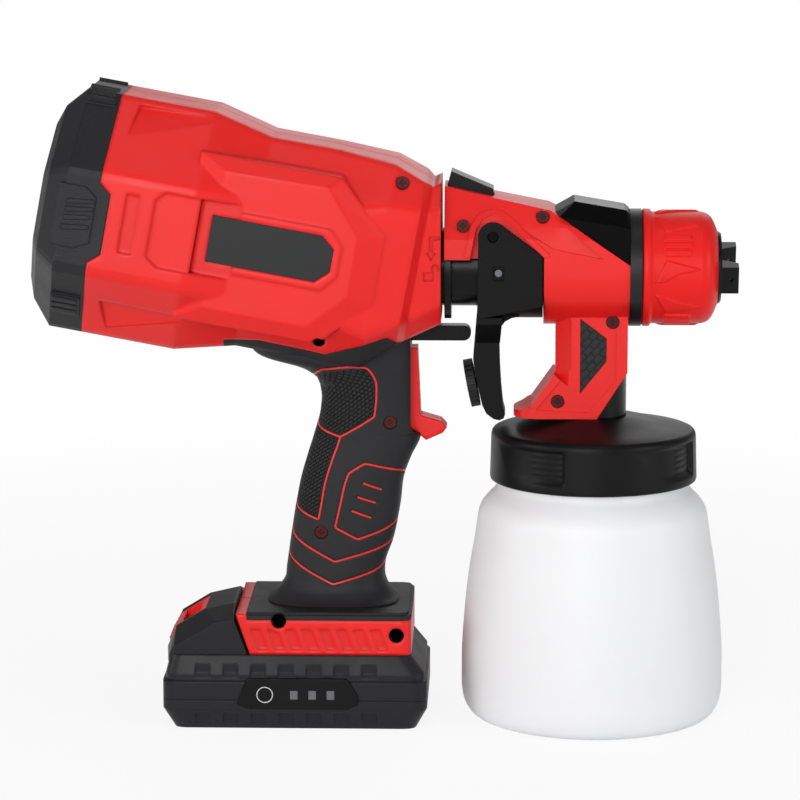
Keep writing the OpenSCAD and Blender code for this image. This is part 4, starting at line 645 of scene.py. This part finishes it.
# the nozzle nut, in mm; the raised shapes stand over the sunk flank
nutShape = {
    "start": 115.3, "length": 33.7, "radius": 26.2, "axis": 204.6, "turns": 640, "rows": 70,
    "sunk": 1.25, "relief": 0.85, "wall": 0.3, "groups": 4, "groupAngle": 30.0,
    # collar, flank and nose: radius less the nut's, and length from its rear
    "collar": [[-0.5, 0.2], [0, 0.7], [0, 3.2], [-0.3, 3.6]], "collarEnd": [0.15, 4.0], "flank": [4.4, 26.2],
    "nose": [[-1.5, 27.4], [-1.9, 28.6], [-2.7, 29.8], [-4.0, 31.0], [-6.0, 32.1], [-8.0, 32.9]],
    # the nose's last point and the mouth: length less the nut's; the bore: radius and length
    "noseEnd": [-9.2, -0.3], "mouth": [[16.6, -0.2], [16.55, -4.8], [19.9, -5.0]],
    "bore": [[19.9, 16.2], [21.3, 16.0], [21.3, 0.0]], "rearWall": 0.9,
    # raised shapes of one group: along the nut in mm, round it in degrees from the group's middle
    "bars": [[[9.8, 5.4], [21.2, 5.4], [21.2, 11.6], [9.8, 11.6]],
        [[9.8, -3.0], [21.6, -3.0], [21.6, 3.4], [9.8, 3.4]],
        [[9.8, -11.4], [21.2, -11.4], [21.2, -5.0], [9.8, -5.0]]],
    "blade": [[10.4, 15.7], [25.3, 24.7], [15.7, 29.4], [8.7, 38.0], [5.6, 38.0]],
}

def buildNut():
    # rows run along the nut, columns round it; the outer radius gains the ornaments
    s = nutShape
    r, n = s["radius"], s["length"]
    collar = [[r + k, h] for k, h in s["collar"]] + [[r - s["sunk"] + s["collarEnd"][0], s["collarEnd"][1]]]
    flank = [[r - s["sunk"], k] for k in np.linspace(*s["flank"], s["rows"])]
    nose = [[r + k, h] for k, h in s["nose"]] + [[r + s["noseEnd"][0], n + s["noseEnd"][1]]]
    inner = [[k, n + h] for k, h in s["mouth"]] + s["bore"] + [[r - s["rearWall"], 0.0]]
    profile = np.array(collar + flank + nose + inner)
    a = np.linspace(0, 2 * np.pi, s["turns"], endpoint=False)
    rad = np.broadcast_to(profile[:, :1], (len(profile), len(a))).copy()
    x = np.broadcast_to(profile[:, 1:], rad.shape)
    degrees = (np.degrees(a) - s["groupAngle"] + 180 / s["groups"]) % (360 / s["groups"]) - 180 / s["groups"]
    perDegree = math.pi / 180 * r
    arc = degrees[None, :] * math.pi / 180 * r + 0 * x
    # distance to the nearest outline, negative inside a raised shape
    near = np.full(rad.shape, 1e9)
    for shape in s["bars"] + [s["blade"], [[u, -v] for u, v in s["blade"]]]:
        outline = [(u, v * perDegree) for u, v in shape]
        away = pathDistance(x, arc, np.array(outline + outline[:1]))
        near = np.minimum(near, np.where(insideOutline(x, arc, outline), -away, away))
    row = np.arange(len(profile))
    onFlank = (row >= len(collar)) & (row < len(collar + flank))
    rad = rad + np.where(onFlank[:, None], s["relief"] * (1 - step01(-s["wall"], s["wall"], near)), 0)
    # the angle counts up from -Y towards +Z
    points = np.stack([s["start"] + x, -rad * np.cos(a), s["axis"] + rad * np.sin(a)], -1) / 1000
    nut = gridPiece("nozzleNutShell", points[:, ::-1], nutAbs, "nut", closeRows=True, closeColumns=True)
    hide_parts("nozzle_nut")
    print("nozzle nut made")

buildGrip()
buildCover("right")
buildCover("left")
buildCup()
buildLid()
buildNut()

# the fan body's own frame: the middle of its seam with the cap in mm, and its tilt in degrees
bodyFrame = {"seamX": -123.45, "seamZ": 230.44, "tilt": 10.5}

def bodyPoint(u, y, v):
    # from the tilted frame of the fan body (u along it, v up) to the model, in mm
    b = math.radians(bodyFrame["tilt"])
    return np.stack([bodyFrame["seamX"] + u * math.cos(b) + v * math.sin(b), y + 0 * u,
        bodyFrame["seamZ"] - u * math.sin(b) + v * math.cos(b)], -1)

# raised shapes: depth of the sunk foot in mm, the share of the soft edge at the shoulder's middle row, and the least
# cosine by which a corner's inset is divided, so that sharp corners stay short
raisedUsual = {"foot": 0.3, "shoulder": 0.3, "leastCosine": 0.3}

def raisedShape(name, outline, place, shape, material, body, mirrored=False):
    # rows of the anticlockwise outline: sunk foot, wall, rounded shoulder drawn in along the bisectors, flat top
    height, soft = shape["height"], shape["soft"]
    middle = raisedUsual["shoulder"] * soft
    points = np.array(outline, float)
    ahead, behind = np.roll(points, -1, 0) - points, points - np.roll(points, 1, 0)
    ahead /= np.linalg.norm(ahead, axis=1, keepdims=True)
    behind /= np.linalg.norm(behind, axis=1, keepdims=True)
    inward = np.stack([-(ahead + behind)[:, 1], (ahead + behind)[:, 0]], 1)
    cosine = (inward * np.stack([-ahead[:, 1], ahead[:, 0]], 1)).sum(1)
    inward /= np.maximum(cosine, raisedUsual["leastCosine"])[:, None]
    rows = []
    for inset, lift in ((0, -raisedUsual["foot"]), (0, height - soft), (middle, height - middle), (soft, height)):
        flat = points + inward * inset
        rows.append(place(flat[:, 0], flat[:, 1], lift))
    rows = np.stack(rows) / 1000
    return gridPiece(name, rows[:, ::-1] if mirrored else rows, material, body, closeColumns=True, capEnds=True,
        smooth=False)

# four grip bars on each side tab of the cap, in mm: their corners in the body's frame and the tab's plane
capBars = {
    "corners": [[[-13.1, 6.3], [-0.9, 8.1], [-1.2, 10.0], [-13.3, 8.6]],
        [[-13.2, 2.6], [-0.7, 4.7], [-0.8, 6.5], [-13.3, 5.0]],
        [[-13.3, -0.9], [-1.9, 0.9], [-1.9, 2.8], [-13.5, 1.5]],
        [[-13.7, -5.4], [-1.7, -3.3], [-1.8, -1.4], [-13.8, -2.9]]],
    "plane": 55.0, "height": 0.7, "soft": 0.35,
}
# ribs on the cap's corner blocks: turn about the body's axis in degrees, radius and offsets across it in mm
capRibs = {
    "blocks": [[23, 57.16, [-5.2, -1.2, 2.8]], [138, 55.0, [-4.0, 0.2, 4.4]]],
    "rear": -13.8, "front": -2.6, "half": 1.3, "height": 0.6, "soft": 0.3,
}

def buildCapDetails():
    b, r = capBars, capRibs
    for side in (-1, 1):
        mark = "right" if side < 0 else "left"
        for i, corners in enumerate(b["corners"]):
            raisedShape("capBar_%s_%d" % (mark, i), corners, lambda u, v, h: bodyPoint(u, side * (b["plane"] + h), v),
                b, capAbs, "gun", side > 0)
        for turn, radius, offsets in r["blocks"]:
            c, q = math.cos(math.radians(turn)), math.sin(math.radians(turn))
            for i, offset in enumerate(offsets):
                near, far = offset - r["half"], offset + r["half"]
                outline = [[r["rear"], near], [r["front"], near], [r["front"], far], [r["rear"], far]]
                raisedShape("capRib_%s_%d_%d" % (mark, turn, i), outline,
                    lambda u, w, h: bodyPoint(u, side * ((radius + h) * q - w * c), (radius + h) * c + w * q),
                    r, capAbs, "gun", side > 0)
    print("cap details made")

# arrow and open lock beside the seam, (x, z) in mm, anticlockwise; they lie on the flank's plane
seamMarks = {
    "outlines": {
        "arrow": [[25.9, 222.2], [21.2, 222.2], [21.2, 215.2], [19.9, 214.9], [22.0, 211.1], [24.1, 214.7],
            [22.8, 215.3], [22.8, 220.3], [25.9, 220.5]],
        "lock": [[18.6, 202.3], [23.2, 202.3], [23.2, 206.4], [22.9, 206.5], [22.95, 208.0], [23.4, 208.9],
            [23.9, 209.2], [24.4, 208.9], [24.85, 208.1], [25.0, 206.9], [25.8, 206.9], [25.6, 208.4], [24.9, 209.6],
            [23.8, 210.1], [22.7, 209.5], [22.1, 208.3], [22.0, 206.4], [18.6, 206.4]],
    },
    "height": 0.32, "soft": 0.15,
}

# the two planes of the flank there: depth at one point in mm, and the slopes along x and up z from it
flankPlanes = [{"y": -33.09, "x": 17, "slopeX": 0.158, "z": 198, "slopeZ": -0.0306},
    {"y": -32.67, "x": 22.8, "slopeX": 0.337, "z": 0, "slopeZ": 0.0}]

def flankDepth(x, z):
    # the planes meet in an edge near x = 23, and the one nearer to the middle is the surface
    return np.max([f["y"] + f["slopeX"] * (x - f["x"]) + f["slopeZ"] * (z - f["z"]) for f in flankPlanes], axis=0)

def buildSeamMarks():
    for key, outline in seamMarks["outlines"].items():
        raisedShape("seamMark_" + key, outline, lambda x, z, h: np.stack([x, flankDepth(x, z) - h, z], -1),
            seamMarks, housingAbs, "gun")
    print("seam marks made")

# near-black cups in the deep screw holes, painted shade standing in for the holes' shadow; in mm: x, height, depth of
# the face from the middle, depth of the hole, radius
shadeCupsInHoles = {
    "holes": [[-45.7, 49.2, 33.0, 8.9, 3.37], [6.8, 42.9, 33.0, 8.9, 3.37], [-27.3, 175.8, 31.1, 4.0, 2.87]],
    "wall": 0.35, "sunk": 0.5, "pinhole": 0.02, "turns": 48,
}

def buildShadeCupsInHoles():
    # radius and depth carried round the hole's axis
    w, top, pin = shadeCupsInHoles["wall"], shadeCupsInHoles["sunk"], shadeCupsInHoles["pinhole"]
    a = np.linspace(0, 2 * np.pi, shadeCupsInHoles["turns"], endpoint=False)
    for i, (x, z, face, depth, r) in enumerate(shadeCupsInHoles["holes"]):
        profile = np.array([[r, top], [r - w, top], [r - w, depth - w], [pin, depth - w], [pin, depth], [r, depth]])
        for side in (-1, 1):
            mark = "right" if side < 0 else "left"
            c, q = np.cos(a) * profile[:, :1], np.sin(a) * profile[:, :1]
            rows = np.stack([x + c, side * (face - profile[:, 1:] + 0 * c), z + q], -1) / 1000
            # their near-black material is painted shade in the holes
            gridPiece("holeShadeCup_%s_%d" % (mark, i), rows if side < 0 else rows[:, ::-1], noseAbs, "gun",
                closeRows=True, closeColumns=True)
    print("hole shade cups made")

# the ring printed on the battery's gauge, in mm: its middle, and how far its back and its face lie from there
gaugeRing = {"x": -51.8, "y": -37.78, "z": 16.56, "radius": 3.5, "width": 0.42, "back": 0.1, "face": -0.05,
    "turns": 64}

def buildGaugeRing():
    # a flat ring: two circles joined by a thin closed band
    g = gaugeRing
    a = np.linspace(0, 2 * np.pi, g["turns"], endpoint=False)
    r, w = g["radius"], g["width"] / 2
    rows = [np.stack([g["x"] + k * np.cos(a), g["y"] + h + 0 * a, g["z"] + k * np.sin(a)], -1)
        for k, h in ((r + w, g["back"]), (r + w, g["face"]), (r - w, g["face"]), (r - w, g["back"]))]
    gridPiece("gaugeRing", np.stack(rows) / 1000, printWhite, "battery", closeRows=True, closeColumns=True,
        smooth=False)
    print("gauge ring made")

buildCapDetails()
buildSeamMarks()
buildShadeCupsInHoles()
buildGaugeRing()

# places in metres, angles in degrees, the lens and its sensor in mm
cameraSetup = {"target": (0.0075, 0, 0.1439), "distance": 1.665, "azimuth": 1.7, "elevation": 9.8, "lens": 166.5,
    "sensor": 36, "far": 50}
# round soft boxes: place and size in metres, power in watts
lampSetup = {
    "key": {"place": (-0.4, -2.1, 0.75), "size": 1.1, "power": 26},
    "right": {"place": (1.8, -1.0, 0.6), "size": 1.2, "power": 13},
    "left": {"place": (-1.9, -0.8, 0.5), "size": 1.2, "power": 13},
    "top": {"place": (0.1, -0.4, 1.9), "size": 0.9, "power": 2.5},
    "back": {"place": (0.3, 1.7, 1.0), "size": 1.2, "power": 5},
}
# a wide disc, in metres: the part of it that glows by itself grows from near to far round the tool
floorSetup = {"radius": 14, "corners": 64, "drop": 0.0002, "matt": 0.86, "near": 0.25, "far": 0.9, "glowNear": 0.88,
    "glowFar": 1.0}
# strength of the white surroundings, as light and as seen
worldSetup = {"fill": 0.3, "seen": 1.0}

def addCamera(setup):
    az, el = math.radians(setup["azimuth"]), math.radians(setup["elevation"])
    way = Vector((math.sin(az) * math.cos(el), -math.cos(az) * math.cos(el), math.sin(el)))
    camera = addObject("camera", bpy.data.cameras.new("camera"))
    camera.data.lens = setup["lens"]
    camera.data.sensor_width = setup["sensor"]
    camera.data.clip_end = setup["far"]
    camera.location = Vector(setup["target"]) + way * setup["distance"]
    camera.rotation_euler = (-way).to_track_quat("-Z", "Y").to_euler()
    bpy.context.scene.camera = camera

def addLamps(setups, target):
    for name, setup in setups.items():
        lamp = addObject("lamp_" + name, bpy.data.lights.new("lamp_" + name, "AREA"))
        lamp.data.shape = "DISK"
        lamp.data.size = setup["size"]
        lamp.data.energy = setup["power"]
        lamp.location = setup["place"]
        lamp.rotation_euler = (Vector(target) - Vector(setup["place"])).to_track_quat("-Z", "Y").to_euler()

def addFloor(setup):
    # where it is seen it shows mostly its own white, plus a matt part that takes the shadow; other rays find it matt
    t = np.linspace(0, 2 * np.pi, setup["corners"] + 1)[:-1]
    rim = np.stack([setup["radius"] * np.cos(t), setup["radius"] * np.sin(t), 0 * t - setup["drop"]], 1)
    mesh = bpy.data.meshes.new("studioFloor")
    mesh.from_pydata(rim.tolist(), [], [list(range(len(t)))])
    floor = addObject("studioFloor", mesh)
    material = bpy.data.materials.new("studio_floor_white")
    tree = emptyTree(material)
    ray = addNode(tree, "ShaderNodeLightPath")
    seen = addNode(tree, "ShaderNodeMath", {"operation": "MAXIMUM"},
        {0: ray.outputs["Is Camera Ray"], 1: ray.outputs["Is Glossy Ray"]})
    seen = addNode(tree, "ShaderNodeMath", {"operation": "MAXIMUM"},
        {0: seen.outputs[0], 1: ray.outputs["Is Transmission Ray"]})
    matt = addNode(tree, "ShaderNodeBsdfDiffuse", {"Color": (setup["matt"],) * 3 + (1,)})
    glow = addNode(tree, "ShaderNodeEmission", {"Color": (1, 1, 1, 1), "Strength": 1.0})
    place = addNode(tree, "ShaderNodeTexCoord")
    distance = addNode(tree, "ShaderNodeVectorMath", {"operation": "LENGTH"}, {0: place.outputs["Object"]})
    own = addNode(tree, "ShaderNodeMapRange", {"interpolation_type": "SMOOTHSTEP", "From Min": setup["near"],
        "From Max": setup["far"], "To Min": setup["glowNear"], "To Max": setup["glowFar"]},
        {"Value": distance.outputs["Value"]})
    share = addNode(tree, "ShaderNodeMath", {"operation": "MULTIPLY"}, {0: seen.outputs[0], 1: own.outputs["Result"]})
    mix = addNode(tree, "ShaderNodeMixShader", None, {0: share.outputs[0], 1: matt.outputs[0], 2: glow.outputs[0]})
    addNode(tree, "ShaderNodeOutputMaterial", None, {"Surface": mix.outputs[0]})
    mesh.materials.append(material)

def addWorld(setup):
    world = bpy.data.worlds.new("studio")
    bpy.context.scene.world = world
    tree = emptyTree(world)
    ray = addNode(tree, "ShaderNodeLightPath")
    seen = addNode(tree, "ShaderNodeMath", {"operation": "MAXIMUM"},
        {0: ray.outputs["Is Camera Ray"], 1: ray.outputs["Is Transmission Ray"]})
    fill = addNode(tree, "ShaderNodeBackground", {"Color": (1, 1, 1, 1), "Strength": setup["fill"]})
    white = addNode(tree, "ShaderNodeBackground", {"Color": (1, 1, 1, 1), "Strength": setup["seen"]})
    mix = addNode(tree, "ShaderNodeMixShader", None, {0: seen.outputs[0], 1: fill.outputs[0], 2: white.outputs[0]})
    addNode(tree, "ShaderNodeOutputWorld", None, {"Surface": mix.outputs[0]})

addCamera(cameraSetup)
addLamps(lampSetup, cameraSetup["target"])
addFloor(floorSetup)
addWorld(worldSetup)
bpy.context.scene.view_settings.view_transform = "Standard"
print("studio set")

bpy.context.view_layer.update()
